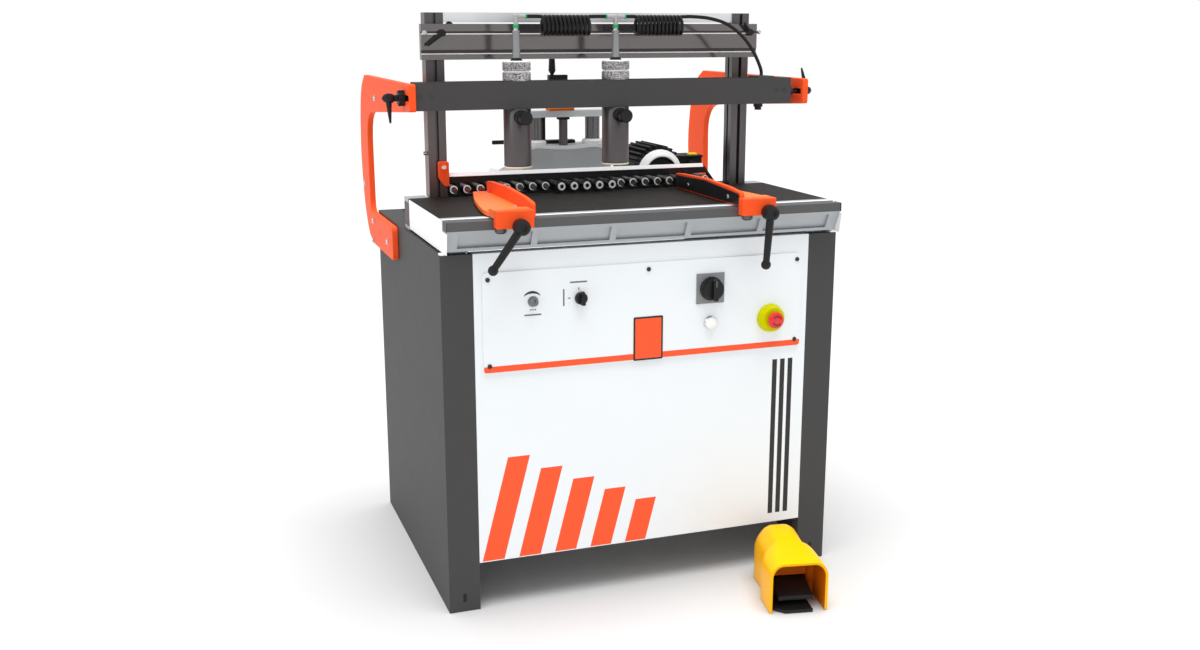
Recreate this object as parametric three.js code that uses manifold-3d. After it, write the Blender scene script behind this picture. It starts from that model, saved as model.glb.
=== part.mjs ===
// A cabinet dowel boring machine with a row of coupled spindles, a tilting head and two air clamps.
// Millimetres, +Z up. X runs along the spindle row, -Y faces the operator.
import * as THREE from "three";
import { mergeVertices } from "three/addons/utils/BufferGeometryUtils.js";
import Module from "manifold-3d";

const wasm = await Module();
wasm.setup();

// Shared clearances and overruns
const gap = 0.3;
const overrun = 5;

// Cabinet
const cabinetWidth = 930;
const cabinetDepth = 716;
const cabinetHeight = 802;
const sheet = 4;
const postWidth = 70;
const postReturn = 30;
const flangeWidth = 60;
const plinthHeight = 110;
const footSlotWidth = 8;
const footSlotHeight = 20;
const footSlotRise = 32;
const rearOpening = 122;

// Table
const tableInset = 9;
const tableRise = 74;
const tableDepth = 358.7;
const castingHeight = 66;
const castingWall = 12;
const castingEnd = 60;
const topThickness = 7.7;
const bandFront = 4;
const bandDepth = 28;
const shelfDrop = 20.3;
const apronTopFront = 30;
const apronFootFront = 7;
const pocketDepth = 7;
const pocketMargin = 7;
const pocketEdgeShares = [0.193, 0.579, 0.943];
const ribWidth = 14;
const footBarInset = 16;
const footBarWidth = 40;
const footBarSetback = 20;
const railFront = 32;
const railDepth = 22;
const railHeight = 19;

// Tilt pivot behind the table
const tubeRadius = 21.7;
const tubePlay = 0.6;
const tubeInset = 52;
const trunnionRadius = 11;
const trunnionLength = 36;
const lugPlay = 4.3;
const lugDepth = 46.3;

// Tilting frame
const cheekThickness = 12;
const cheekNoseDepth = 41;
const cheekTop = 12;
const cheekTailClear = 37;
const cheekTailTop = 30;
const cheekTailFoot = 54;
const cheekToeFront = 62;
const cheekToeRise = 34;
const cheekToeLean = 8;
const cheekBelly = 18;
const cheekBellyFront = 10;
const basePlate = 12;
const basePlateClear = 26;
const feedRailHeight = 14;
const feedRailWidth = 20;
const feedRailOffset = 80;

// Spindles
const spindleCount = 21;
const rowMargin = 42;
const rowCentre = -30;
const spindleHeight = 17;
const chuckRadius = 10;
const chuckLength = 34;
const shaftRadius = 8;
const chuckChamfer = 1.5;
const longSpindles = 5;
const longSpindleExtra = 24;
const spindleProud = 18;
const chuckBore = 5.5;
const chuckBoreDepth = 30;

// Fence bar, uprights and top bar
const uprightInset = 42;
const uprightWidth = 43;
const uprightDepth = 40;
const uprightHeight = 418.6;
const slotMouth = 8;
const slotDepth = 10;
const slotUndercut = 5;
const slotLip = 4;
const fenceThickness = 12;
const fenceHeight = 46;
const fenceFoot = 4;
const windowHeight = 27.5;
const windowEndOffset = 14;
const stripHeight = 8.5;
const fenceEndInset = 74;
const fenceSlantInset = 36;
const fenceWebWidth = 6;
const fenceScrewRadius = 4.5;
const fenceScrewShares = [0.277, 0.719, 0.859, 0.922];
const fenceScrewDrop = 9;
const fenceScrewHead = 2;
const braceHeight = 22;
const braceDepth = 30;
const topBarOverhang = 13;
const topBarHeight = 79.5;
const topBarDepth = 18.7;
const topBarRest = 314;
const topBarGrooves = [[12, 22], [56, 63]];
const topBarGrooveDepth = 6;

// Gear housing, feed carriage and lifting screw
const caseFrontGap = 41.3;
const caseDepth = 37.7;
const caseLeftOverhang = 10;
const caseRightInset = 50;
const caseHeight = 63;
const caseFoot = 14;
const saddleLeft = 115;
const saddleRight = 115;
const saddleDepth = 82;
const saddleHeight = 114;
const shoulderWidth = 95;
const shoulderHeight = 66;
const bossHeight = 14;
const bossWall = 7;
const columnRadius = 18.5;
const columnOffset = 75;
const columnBehindCase = 59.7;
const columnRise = 169;
const carriageHalf = 110;
const carriageSetback = 9.7;
const carriageLength = 170;
const carriageThickness = 13.7;
const crossPlate = 16;
const crossPlateDepth = 50;
const screwRadius = 9;
const screwLength = 90;
const screwBoreDepth = 41;
const crankShaftRadius = 6;
const crankShaftLength = 74;
const crankArmLength = 48;
const crankArmWidth = 16;
const crankArmHeight = 12;
const crankGripOffset = 30;
const crankGripRadius = 9;
const crankGripHeight = 53;
const crankNeckShares = [[0, 0.5], [0.5, 0.5], [0.5, 1.2], [1, 1.8]];
const crankTopShares = [[0.8, 0.85], [0, 1]];

// Motor
const motorInset = 85;
const motorRise = 2;
const motorRingRadius = 60;
const motorRingDepth = 13.7;
const motorDishDepth = 9;
const motorDishShares = [0.6, 0.72, 0.76];
const motorRimDepth = 12;
const motorBodyRadius = 55;
const motorFinRadius = 62;
const motorFinCount = 20;
const motorFinShares = [[0, 0], [0.3, 1], [0.5, 1], [0.8, 0]];
const motorBodyLength = 150;
const motorCowlRadius = 60;
const motorCowlLength = 45;
const motorCowlShares = [[1, 0.7], [0.85, 1]];
const terminalReach = 70;
const terminalInset = 8;
const terminalWidth = 70;
const terminalHeight = 40;
const terminalGapFront = 12;

// Presser arms
const armThickness = 14.7;
const armOverlap = 7;
const armBackOverhang = 144;
const armPlay = 3;
const armThroatDrop = 33;
const armThroatOverhang = 29;
const armHeelInset = 266;
const armFootDrop = 91;
const armCorner = 70;
const armHeelTopClear = 6;
const armSlotLength = 74;
const armSlotHeight = 13;
const armSlotSetback = 3;
const armSlotRise = 26;
const armScrewRadius = 8;
const armScrewHead = 3;
const armRearSpan = 677;
const armRearShares = [[0.76, 0], [0.87, 0.05], [0.95, 0.2], [0.99, 0.4], [1, 0.58], [0.975, 0.8],
  [0.93, 0.93], [0.86, 1]];
const armScrewShares = [[0.93, 0.36], [0.77, 0.17], [0.77, 0.03], [0.48, 0.11], [0.63, 0.88]];

// Presser beam and arm levers
const beamLeftGap = 1;
const beamRightGap = 28;
const beamRise = 210;
const beamHeight = 60;
const beamSetback = 168.7;
const beamDepth = 58;
const beamWall = 6;
const beamEnd = 24;
const spacerRadius = 9.5;
const hoseBlockInset = 65;
const hoseBlockWidth = 40;
const hoseBlockRise = 4;
const studRadius = 6;
const studSink = 14;
const studSetback = 50;
const starRadius = 17.5;
const starWidth = 20;
const starArmCount = 6;
const starArmShares = [[0, 0], [0.25, 1], [0.75, 1]];
const starGroove = 4;
const leverHubRadius = 10;
const leverHubLength = 32;
const armLeverLength = 60;
const armLeverRadius = 5;
const armLeverBall = 9;
const armLeverSplay = 12;

// Air clamps
const leftClampX = -231;
const rightClampX = 3;
const clampNeckRadius = 22.5;
const clampRadius = 31;
const clampLength = 127.7;
const clampNutRadius = 31.5;
const clampNutHeight = 41.7;
const clampNutGroove = 3;
const clampNutGrooveShares = [0.45, 0.53];
const clampCollarRadius = 12;
const clampCollarHeight = 8;
const riserRadius = 8.5;
const riserHeight = 57;
const neckRadius = 6;
const neckHeight = 32.3;
const elbowRadius = 5;
const portReach = 25;
const clampKnobRadius = 16.5;
const clampKnobReach = 38;
const clampKnobRise = 110;
const pistonRadius = 15;
const pistonStroke = 60;
const pistonGuide = 12;
const padRadius = 31.5;
const padThickness = 4.2;

// Air hoses
const hoseDiameter = 8;
const coilOuter = 48;
const coilPitch = 9.5;
const coilLead = 10;
const coilLeadBow = 3;
const coilTurns = 12;
const curlSteps = 8;
const hoseSides = 5;
const linkLead = 33;
const supplyLead = 23;
const supplyRouteBow = 4;
const supplyRouteShares = [[0.08, 0.75, 0], [0.278, 1, 0.024], [0.481, 1, 0.098], [0.644, 1, 0.23],
  [0.777, 1, 0.399], [0.891, 0.75, 0.613], [0.97, 0.25, 0.818], [1, 0, 0.929]];

// Side fences
const guideWallThickness = 10;
const guideWallFront = 30;
const guideWallClear = 23.7;
const guideWallHeight = 36;
const guideArchRise = 6;
const guideArchShares = [[0.75, 0.8], [0.5, 1], [0.25, 0.8]];
const leftFenceInset = 97;
const rightFenceInset = 157;
const flangeReach = 95;
const flangeLift = 2;
const flangeThickness = 11;
const flangeShares = [[0.45, 1], [0.75, 0.66], [0.92, 0.39], [1, 0.19], [0.97, 0.09], [0.86, 0.02]];
const blockDepth = 24.7;
const blockWidth = 82;
const blockHeight = 37;
const blockFoot = 16;
const bossRadius = 15;
const bossDrop = 11;
const leftBlockShift = -92;
const leftBossShift = -80;
const leftHubShift = -40;
const leftHubRise = 3;
const rightBlockShift = -6;
const rightBossShift = 10;
const rightHubShift = 53;
const rightHubRise = 7;
const fenceHubRadius = 17;
const fenceHubDepth = 32;
const fenceHubShares = [[0, 1], [0.8, 1], [1, 0.85]];
const fenceHandleRadius = 6;
const fenceBall = 11;
const leftHandle = 106;
const leftHandleTurn = 36;
const rightHandle = 115;
const rightHandleTurn = 4;

// Control panel
const panelInset = 88;
const panelDrop = 41;
const panelHeight = 218;
const panelThickness = 4.7;
const stripeRise = 1;
const stripeHeight = 14;
const stripeProud = 0.7;
const panelScrewRadius = 6;
const panelScrewInset = 12;
const panelScrewHead = 2;
const switchPlateInset = 228.5;
const switchDrop = 68;
const switchPlate = 70;
const switchPlateDepth = 3;
const mainKnobRadius = 24;
const mainKnobDepth = 16;
const mainGripLength = 44;
const mainGripWidth = 12;
const mainGripDepth = 12;
const speedInset = 111;
const selectorInset = 218;
const smallKnobRadius = 15;
const smallKnobDepth = 14;
const smallKnobTip = 4;
const smallBezelRadius = 18;
const smallBezelDepth = 2;
const lampInset = 228;
const lampDrop = 147;
const lampRadius = 15;
const lampDepth = 6;
const stopInset = 78;
const stopDrop = 147;
const stopCollarRadius = 32.5;
const stopCollarDepth = 20;
const stopHeadRadius = 19;
const stopHeadDepth = 11;
const stopStemRadius = 8;
const stopTravel = 6;

// Foot pedal, in its own turned frame
const pedalX = 265;
const pedalY = -251;
const pedalTurn = -11;
const hoodFrontHalf = 66;
const hoodFrontDepth = 87;
const hoodFrontTop = 113;
const hoodRearHalf = 50;
const hoodDepth = 196;
const hoodCrown = 140;
const hoodCrownBack = 155;
const hoodTailTop = 112;
const hoodWall = 3;
const pedalPivotY = 150;
const pedalPivotZ = 42;
const pedalPinRadius = 5;
const pedalHalf = 42;
const pedalFront = 10;
const pedalFrontFoot = 17;
const pedalThickness = 6;
const pedalRise = 40;

// Places worked out from the sizes above
const cabinetHalf = cabinetWidth / 2;
const tableHalf = cabinetHalf - tableInset;
const tubeHalf = tableHalf - tubeInset;
const uprightInner = tubeHalf - uprightInset;
const spindlePitch = (2 * (uprightInner - rowMargin)) / (spindleCount - 1);
const tableTop = cabinetHeight + tableRise;
const tableFoot = tableTop - castingHeight;
const bandBack = bandFront + bandDepth;
const shelf = tableTop - shelfDrop;
const pivotY = tableDepth + tubePlay + tubeRadius;
const pivotZ = tableTop - gap - tubeRadius;
const lugInner = tubeHalf + lugPlay;
const uprightFront = tableDepth + gap;
const uprightBack = uprightFront + uprightDepth;
const uprightTop = tableTop + uprightHeight;
const topBarHalf = uprightInner + uprightWidth + topBarOverhang;
const cheekReach = cabinetDepth - pivotY - cheekTailClear;
const basePlateLength = cabinetDepth - pivotY - cheekToeFront - basePlateClear;
const cheekFront = uprightBack + gap;
const plateTop = pivotZ - cheekTailFoot + basePlate;
const railTop = plateTop + feedRailHeight;
const spindleZ = tableTop + spindleHeight;
const fenceTop = tableTop + fenceHeight;
const fenceRightEnd = uprightInner - fenceEndInset;
const fenceSlantEnd = uprightInner - fenceSlantInset;
const caseLeft = -uprightInner - caseLeftOverhang;
const caseRight = uprightInner - caseRightInset;
const caseFront = uprightBack + caseFrontGap;
const caseBack = caseFront + caseDepth;
const caseBottom = tableTop - caseFoot;
const saddleBack = caseBack + saddleDepth;
const saddleTop = caseBottom + saddleHeight;
const columnY = caseFront + columnBehindCase;
const columnTop = tableTop + columnRise;
const carriageFront = caseFront + carriageSetback;
const screwX = rowCentre;
const motorX = caseRight - motorInset;
const motorZ = spindleZ + motorRise;
const motorFront = caseBack + gap;
const armInner = cabinetHalf + gap;
const armOuter = armInner + armThickness;
const beamLeft = cabinetHalf - beamLeftGap;
const beamRight = cabinetHalf - beamRightGap;
const beamFoot = tableTop + beamRise;
const beamTop = beamFoot + beamHeight;
const beamFront = tableDepth - beamSetback;
const beamBack = beamFront + beamDepth;
const clampY = beamFront + beamDepth / 2;
const hoseBlockX = beamRight - hoseBlockInset;
const studY = beamFront + studSetback;
const armFront = beamFront - armOverlap;
const armBack = cabinetDepth + armBackOverhang;
const armTop = beamTop - armPlay;
const armNoseFoot = beamFoot - armPlay / 2;
const armThroatTop = armNoseFoot - armThroatDrop;
const armThroatBack = cabinetDepth + armThroatOverhang;
const armHeelFront = cabinetDepth - armHeelInset;
const armFoot = cabinetHeight - armFootDrop;
const armSlotFront = beamFront + armSlotSetback;
const armSlotLevel = beamFoot + armSlotRise;
const clampTop = beamFoot - gap;
const clampFoot = clampTop - clampLength;
const nutTop = beamTop + gap + clampNutHeight;
const riserTop = nutTop + clampCollarHeight + riserHeight;
const portZ = riserTop + neckHeight;
const coilRadius = (coilOuter - hoseDiameter) / 2;
const coilZ = portZ - coilRadius;
const guideFoot = tableTop + gap;
const guideWallBack = tableDepth - guideWallClear;
const leftFenceX = leftFenceInset - uprightInner;
const rightFenceX = uprightInner - rightFenceInset;
const blockBack = -railFront - gap;
const blockFront = blockBack - blockDepth;
const blockBottom = tableTop - blockFoot;
const panelBack = -gap;
const panelFront = panelBack - panelThickness;
const panelHalf = cabinetHalf - panelInset;
const panelTop = cabinetHeight - panelDrop;
const panelFoot = panelTop - panelHeight;
const switchZ = panelTop - switchDrop;
const lampZ = panelTop - lampDrop;
const stopZ = panelTop - stopDrop;
const speedX = speedInset - panelHalf;
const selectorX = selectorInset - panelHalf;
const switchPlateX = panelHalf - switchPlateInset;
const lampX = panelHalf - lampInset;
const stopX = panelHalf - stopInset;

// Facet counts
const fine = 28;
const medium = 20;
const coarse = 12;
const tiny = 8;
const curveSteps = 4;

// Shapes

function solidOf(geometry) {
  const plain = new THREE.BufferGeometry();
  plain.setAttribute("position", geometry.getAttribute("position"));
  plain.setIndex(geometry.index);
  const merged = mergeVertices(plain);
  const corners = merged.index.array;
  const kept = [];
  for (let i = 0; i < corners.length; i += 3) {
    const [a, b, c] = corners.slice(i, i + 3);
    if (a !== b && b !== c && c !== a) kept.push(a, b, c);
  }
  return new wasm.Manifold(new wasm.Mesh({
    numProp: 3,
    vertProperties: merged.getAttribute("position").array,
    triVerts: new Uint32Array(kept),
  }));
}

function block(x0, x1, y0, y1, z0, z1) {
  const geometry = new THREE.BoxGeometry(x1 - x0, y1 - y0, z1 - z0);
  geometry.translate((x0 + x1) / 2, (y0 + y1) / 2, (z0 + z1) / 2);
  return solidOf(geometry);
}

// An outline pushed along an axis: "x" takes (y, z) points, "y" takes (x, z) and "z" takes (x, y).
function prism(axis, outline, from, to) {
  const shape = Array.isArray(outline)
    ? new THREE.Shape(outline.map(([a, b]) => new THREE.Vector2(a, b)))
    : outline;
  const geometry = new THREE.ExtrudeGeometry(shape, {
    depth: to - from,
    bevelEnabled: false,
    curveSegments: curveSteps,
  });
  const [u, v, w] = {
    x: [[0, 1, 0], [0, 0, 1], [1, 0, 0]],
    y: [[1, 0, 0], [0, 0, 1], [0, -1, 0]],
    z: [[1, 0, 0], [0, 1, 0], [0, 0, 1]],
  }[axis].map((column) => new THREE.Vector3(...column));
  geometry.applyMatrix4(new THREE.Matrix4().makeBasis(u, v, w));
  const start = axis === "y" ? to : from;
  geometry.translate(...["x", "y", "z"].map((name) => (name === axis ? start : 0)));
  return solidOf(geometry);
}

// A profile of (radius, distance) points turned about an axis through the given centre.
function turned(axis, [p, q], profile, sides = medium) {
  const geometry = new THREE.LatheGeometry(profile.map(([r, at]) => new THREE.Vector2(r, at)), sides);
  if (axis === "x") geometry.rotateZ(-Math.PI / 2).translate(0, p, q);
  if (axis === "y") geometry.translate(p, 0, q);
  if (axis === "z") geometry.rotateX(Math.PI / 2).translate(p, q, 0);
  return solidOf(geometry);
}

function rod(axis, centre, radius, from, to, sides = medium) {
  return turned(axis, centre, [[0, from], [radius, from], [radius, to], [0, to]], sides);
}

function joined(parts) {
  return parts.reduce((whole, part) => whole.add(part));
}

// A straight bar with a ball end, hanging from the origin along -Z, turned about the Y axis.
function handle(length, radius, ballRadius, turn) {
  const bar = new THREE.CylinderGeometry(radius, radius, length, tiny).rotateX(Math.PI / 2);
  bar.translate(0, 0, -length / 2).rotateY(THREE.MathUtils.degToRad(turn));
  const end = new THREE.SphereGeometry(ballRadius, coarse, coarse / 2).translate(0, 0, -length);
  end.rotateY(THREE.MathUtils.degToRad(turn));
  return solidOf(bar).add(solidOf(end));
}

// A round tube through a list of points, closed at both ends, with steady rings.
function tubeThrough(points, radius, sides) {
  const positions = [];
  const index = [];
  let side = new THREE.Vector3(0, 1, 0);
  points.forEach((point, i) => {
    const before = points[Math.max(i - 1, 0)];
    const after = points[Math.min(i + 1, points.length - 1)];
    const along = after.clone().sub(before).normalize();
    side = side.clone().addScaledVector(along, -side.dot(along)).normalize();
    const up = along.clone().cross(side);
    for (let s = 0; s < sides; s += 1) {
      const turn = (s / sides) * 2 * Math.PI;
      const spoke = side.clone().multiplyScalar(Math.cos(turn)).addScaledVector(up, Math.sin(turn));
      positions.push(...point.clone().addScaledVector(spoke, radius).toArray());
    }
  });
  for (let i = 0; i + 1 < points.length; i += 1) {
    for (let s = 0; s < sides; s += 1) {
      const a = i * sides + s;
      const b = i * sides + ((s + 1) % sides);
      index.push(a, b, a + sides, b, b + sides, a + sides);
    }
  }
  const last = (points.length - 1) * sides;
  for (let s = 1; s + 1 < sides; s += 1) {
    index.push(0, s + 1, s, last, last + s, last + s + 1);
  }
  const geometry = new THREE.BufferGeometry();
  geometry.setAttribute("position", new THREE.Float32BufferAttribute(positions, 3));
  geometry.setIndex(index);
  return solidOf(geometry);
}

// Materials
function finish(color, roughness, metalness) {
  return new THREE.MeshStandardMaterial({ color, roughness, metalness });
}

const finishes = {
  cabinetPaint: finish(0x565656, 0.55, 0.1),
  panelPaint: finish(0xe9eff1, 0.45, 0.05),
  casting: finish(0xa5aaad, 0.5, 0.6),
  tableTop: finish(0x232120, 0.6, 0.1),
  aluminium: finish(0xb4b8ba, 0.35, 0.8),
  anodised: finish(0x4c4a4a, 0.45, 0.6),
  brightSteel: finish(0xc4c6c8, 0.25, 0.95),
  blackPlastic: finish(0x151517, 0.5, 0),
  hose: finish(0x101214, 0.35, 0),
  orange: finish(0xff6030, 0.45, 0),
  red: finish(0xc81414, 0.35, 0),
  hoodPaint: finish(0xffbe00, 0.3, 0),
  padCream: finish(0xe6dcc0, 0.6, 0),
  motorPaint: finish(0x2d2d2d, 0.5, 0.3),
};

const machine = new THREE.Group();

function addMesh(name, solid, finishName, parent = machine) {
  const { numProp, vertProperties, triVerts } = solid.getMesh();
  const positions = new Float32Array((vertProperties.length / numProp) * 3);
  for (let i = 0; i * numProp < vertProperties.length; i += 1) {
    positions.set(vertProperties.subarray(i * numProp, i * numProp + 3), i * 3);
  }
  const geometry = new THREE.BufferGeometry();
  geometry.setAttribute("position", new THREE.BufferAttribute(positions, 3));
  geometry.setIndex(new THREE.BufferAttribute(triVerts, 1));
  geometry.computeVertexNormals();
  const mesh = new THREE.Mesh(geometry, finishes[finishName]);
  mesh.name = name;
  parent.add(mesh);
}

// A range of x on one side of the machine, given by two distances from its centre plane.
function sideRange(side, inner, outer) {
  return side < 0 ? [-outer, -inner] : [inner, outer];
}

// Cabinet side with its two folded posts and top flange
function sidePanel(side) {
  const wall = block(...sideRange(side, cabinetHalf - sheet, cabinetHalf), 0, cabinetDepth, 0, cabinetHeight);
  const post = sideRange(side, cabinetHalf - postWidth, cabinetHalf);
  const lip = sideRange(side, cabinetHalf - postWidth, cabinetHalf - postWidth + sheet);
  const flange = sideRange(side, cabinetHalf - flangeWidth, cabinetHalf);
  const whole = joined([
    wall,
    block(...post, 0, sheet, 0, cabinetHeight),
    block(...post, cabinetDepth - sheet, cabinetDepth, 0, cabinetHeight),
    block(...lip, 0, postReturn, 0, cabinetHeight),
    block(...lip, cabinetDepth - postReturn, cabinetDepth, 0, cabinetHeight),
    block(...flange, 0, cabinetDepth, cabinetHeight - sheet, cabinetHeight),
  ]);
  const middle = side * (cabinetHalf - postWidth / 2);
  const slot = block(middle - footSlotWidth / 2, middle + footSlotWidth / 2, -overrun, sheet + overrun,
    footSlotRise - footSlotHeight / 2, footSlotRise + footSlotHeight / 2);
  return whole.subtract(slot);
}

// A folded cover between the posts, with returns on all four edges
function cover(front, outward, top) {
  const half = cabinetHalf - postWidth - gap;
  const back = front + outward * sheet;
  const inside = front + outward * postReturn;
  const range = (a, b) => [Math.min(a, b), Math.max(a, b)];
  return joined([
    block(-half, half, ...range(front, back), plinthHeight, top),
    block(-half, -half + sheet, ...range(front, inside), plinthHeight, top),
    block(half - sheet, half, ...range(front, inside), plinthHeight, top),
    block(-half, half, ...range(front, inside), plinthHeight, plinthHeight + sheet),
    block(-half, half, ...range(front, inside), top - sheet, top),
  ]);
}

// Hollow table casting with a sloping, pocketed apron and two rear pivot lugs
function tableCasting() {
  const body = prism("x", [
    [-apronFootFront, tableFoot],
    [tableDepth, tableFoot],
    [tableDepth, tableTop - topThickness - gap],
    [bandBack, tableTop - topThickness - gap],
    [bandBack, tableTop],
    [bandFront, tableTop],
    [bandFront, shelf],
    [-apronTopFront, shelf],
  ], -tableHalf, tableHalf);
  const hollow = block(castingEnd - tableHalf, tableHalf - castingEnd, apronFootFront + castingWall,
    tableDepth - castingWall, tableFoot - overrun, shelf - castingWall);
  const lean = (apronTopFront - apronFootFront) / (shelf - tableFoot);
  const faceAt = (z) => -apronFootFront - lean * (z - tableFoot);
  const pocketTop = shelf - pocketMargin;
  const pocketFoot = tableFoot + pocketMargin;
  const pocketSection = [
    [faceAt(pocketFoot) - overrun, pocketFoot],
    [faceAt(pocketFoot) + pocketDepth, pocketFoot],
    [faceAt(pocketTop) + pocketDepth, pocketTop],
    [faceAt(pocketTop) - overrun, pocketTop],
  ];
  const [inner, middle, outer] = pocketEdgeShares.map((share) => share * tableHalf);
  const half = ribWidth / 2;
  const pockets = [
    prism("x", pocketSection, half - inner, inner - half),
    ...[-1, 1].map((side) => prism("x", pocketSection, ...sideRange(side, inner + half, middle - half))),
    ...[-1, 1].map((side) => prism("x", pocketSection, ...sideRange(side, middle + half, outer))),
  ];
  const bars = [-1, 1].map((side) => block(
    ...sideRange(side, tableHalf - footBarInset - footBarWidth, tableHalf - footBarInset),
    footBarSetback, tableDepth - footBarSetback, cabinetHeight + gap, tableFoot));
  const lugs = [-1, 1].map((side) => block(...sideRange(side, lugInner, tableHalf), tableDepth - overrun,
    tableDepth + lugDepth, cabinetHeight + gap, tableTop)
    .subtract(rod("x", [pivotY, pivotZ], trunnionRadius + gap, -tableHalf - overrun, tableHalf + overrun)));
  const lugRelief = block(-tableHalf, tableHalf, tableDepth - overrun, tableDepth,
    tableTop - topThickness - gap, tableTop);
  return [hollow, ...pockets].reduce((whole, cut) => whole.subtract(cut), body)
    .add(joined(bars)).add(joined(lugs).subtract(lugRelief));
}

function tableSlab() {
  return block(-tableHalf, tableHalf, bandBack + gap, tableDepth, tableTop - topThickness, tableTop);
}

function frontRail() {
  const railFoot = shelf + gap;
  return block(-tableHalf, tableHalf, -railFront, railDepth - railFront, railFoot, railFoot + railHeight);
}

// Torque tube, trunnions, cheeks and base plate with the two feed rails
function tiltFrame() {
  const noseBack = cheekFront + cheekNoseDepth;
  const tail = pivotY + cheekReach;
  const cheekOutline = [
    [cheekFront, pivotZ + cheekTop],
    [cheekFront, pivotZ],
    [pivotY + cheekBellyFront, pivotZ - cheekBelly],
    [pivotY + cheekToeFront - cheekToeLean, pivotZ - cheekTailFoot + cheekToeRise],
    [pivotY + cheekToeFront, pivotZ - cheekTailFoot],
    [tail, pivotZ - cheekTailFoot],
    [tail, pivotZ - cheekTailTop],
    [noseBack, pivotZ + cheekTop],
  ];
  const cheekRange = [tubeHalf - cheekThickness, tubeHalf];
  const pieces = [rod("x", [pivotY, pivotZ], tubeRadius, -tubeHalf, tubeHalf, fine)];
  for (const side of [-1, 1]) {
    pieces.push(rod("x", [pivotY, pivotZ], trunnionRadius, ...sideRange(side, tubeHalf - overrun,
      tubeHalf + trunnionLength)));
    pieces.push(prism("x", cheekOutline, ...sideRange(side, ...cheekRange)));
    const railCentre = rowCentre + side * feedRailOffset;
    pieces.push(block(railCentre - feedRailWidth / 2, railCentre + feedRailWidth / 2, pivotY + cheekToeFront,
      pivotY + cheekToeFront + basePlateLength, plateTop - basePlate / 2, railTop));
  }
  const plateHalf = tubeHalf - cheekThickness;
  pieces.push(block(-plateHalf, plateHalf, pivotY + cheekToeFront, pivotY + cheekToeFront + basePlateLength,
    plateTop - basePlate, plateTop));
  return joined(pieces);
}

// Fence bar over the spindle row, with its window and its sloping right end
function fenceBar() {
  const left = gap - uprightInner;
  const right = uprightInner - gap;
  const back = uprightFront + fenceThickness;
  const windowTop = tableTop + fenceFoot + windowHeight;
  const face = prism("y", [
    [left, tableTop],
    [fenceSlantEnd, tableTop],
    [right, tableTop],
    [right, tableTop + fenceFoot],
    [fenceSlantEnd, tableTop + fenceFoot],
    [fenceRightEnd, fenceTop + stripHeight],
    [left, fenceTop + stripHeight],
  ], uprightFront, back);
  const opening = block(left - overrun, fenceRightEnd + windowEndOffset, uprightFront - overrun,
    back + overrun, tableTop + fenceFoot, windowTop);
  const foot = block(left, right, uprightFront, uprightBack, tableTop, tableTop + fenceFoot);
  const webX = rowCentre - ((spindleCount - 2) / 2) * spindlePitch;
  const web = block(webX - fenceWebWidth / 2, webX + fenceWebWidth / 2, back - fenceThickness / 2, back,
    tableTop, windowTop + overrun);
  const screws = fenceScrewShares.map((share) => rod("y",
    [left + share * (fenceRightEnd - left), fenceTop - fenceScrewDrop],
    fenceScrewRadius, uprightFront - fenceScrewHead, uprightFront + fenceScrewHead, tiny));
  return face.subtract(opening).add(foot).add(web).add(joined(screws));
}

// Upright with an undercut slot in its front and in its inner side
function upright(side) {
  const slotFrom = (depth, width, reach) => {
    const middle = side * (uprightInner + uprightWidth / 2);
    return block(middle - width / 2, middle + width / 2, uprightFront + depth, uprightFront + reach,
      tableTop - overrun, uprightTop + overrun);
  };
  const middleY = uprightFront + uprightDepth / 2;
  const sideSlot = block(...sideRange(side, uprightInner - overrun, uprightInner + slotDepth),
    middleY - slotMouth / 2, middleY + slotMouth / 2, tableTop - overrun, uprightTop + overrun);
  return block(...sideRange(side, uprightInner, uprightInner + uprightWidth), uprightFront, uprightBack,
    tableTop, uprightTop)
    .subtract(slotFrom(-overrun, slotMouth, slotDepth))
    .subtract(slotFrom(slotLip, slotMouth + slotUndercut * 2, slotDepth))
    .subtract(sideSlot);
}

function uprightBrace() {
  const middleY = uprightFront + uprightDepth / 2;
  return block(gap - uprightInner, uprightInner - gap, middleY - braceDepth / 2, middleY + braceDepth / 2,
    uprightTop - braceHeight, uprightTop);
}

// Cross bar with two long grooves that slides on the fronts of the uprights
function topBar() {
  const back = uprightFront - gap;
  const foot = tableTop + topBarRest;
  const bar = block(-topBarHalf, topBarHalf, back - topBarDepth, back, foot, foot + topBarHeight);
  return topBarGrooves.reduce((whole, [low, high]) => whole.subtract(block(
    -topBarHalf - overrun, topBarHalf + overrun, back - topBarDepth - overrun,
    back - topBarDepth + topBarGrooveDepth, foot + low, foot + high)), bar);
}

// Feed slide with its two columns and the plate that carries the lifting screw
function feedCarriage() {
  const bottom = railTop + gap;
  const columns = [-1, 1].map((side) => rod("z", [rowCentre + side * columnOffset, columnY], columnRadius,
    bottom, columnTop + overrun));
  const base = block(rowCentre - carriageHalf, rowCentre + carriageHalf, carriageFront,
    carriageFront + carriageLength, bottom, bottom + carriageThickness);
  const plate = block(rowCentre - carriageHalf, rowCentre + carriageHalf, columnY - crossPlateDepth / 2,
    columnY + crossPlateDepth / 2, columnTop, columnTop + crossPlate);
  const hole = rod("z", [screwX, columnY], crankShaftRadius + gap, columnTop - overrun,
    columnTop + crossPlate + overrun);
  return joined([base, ...columns, plate]).subtract(hole);
}

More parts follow.
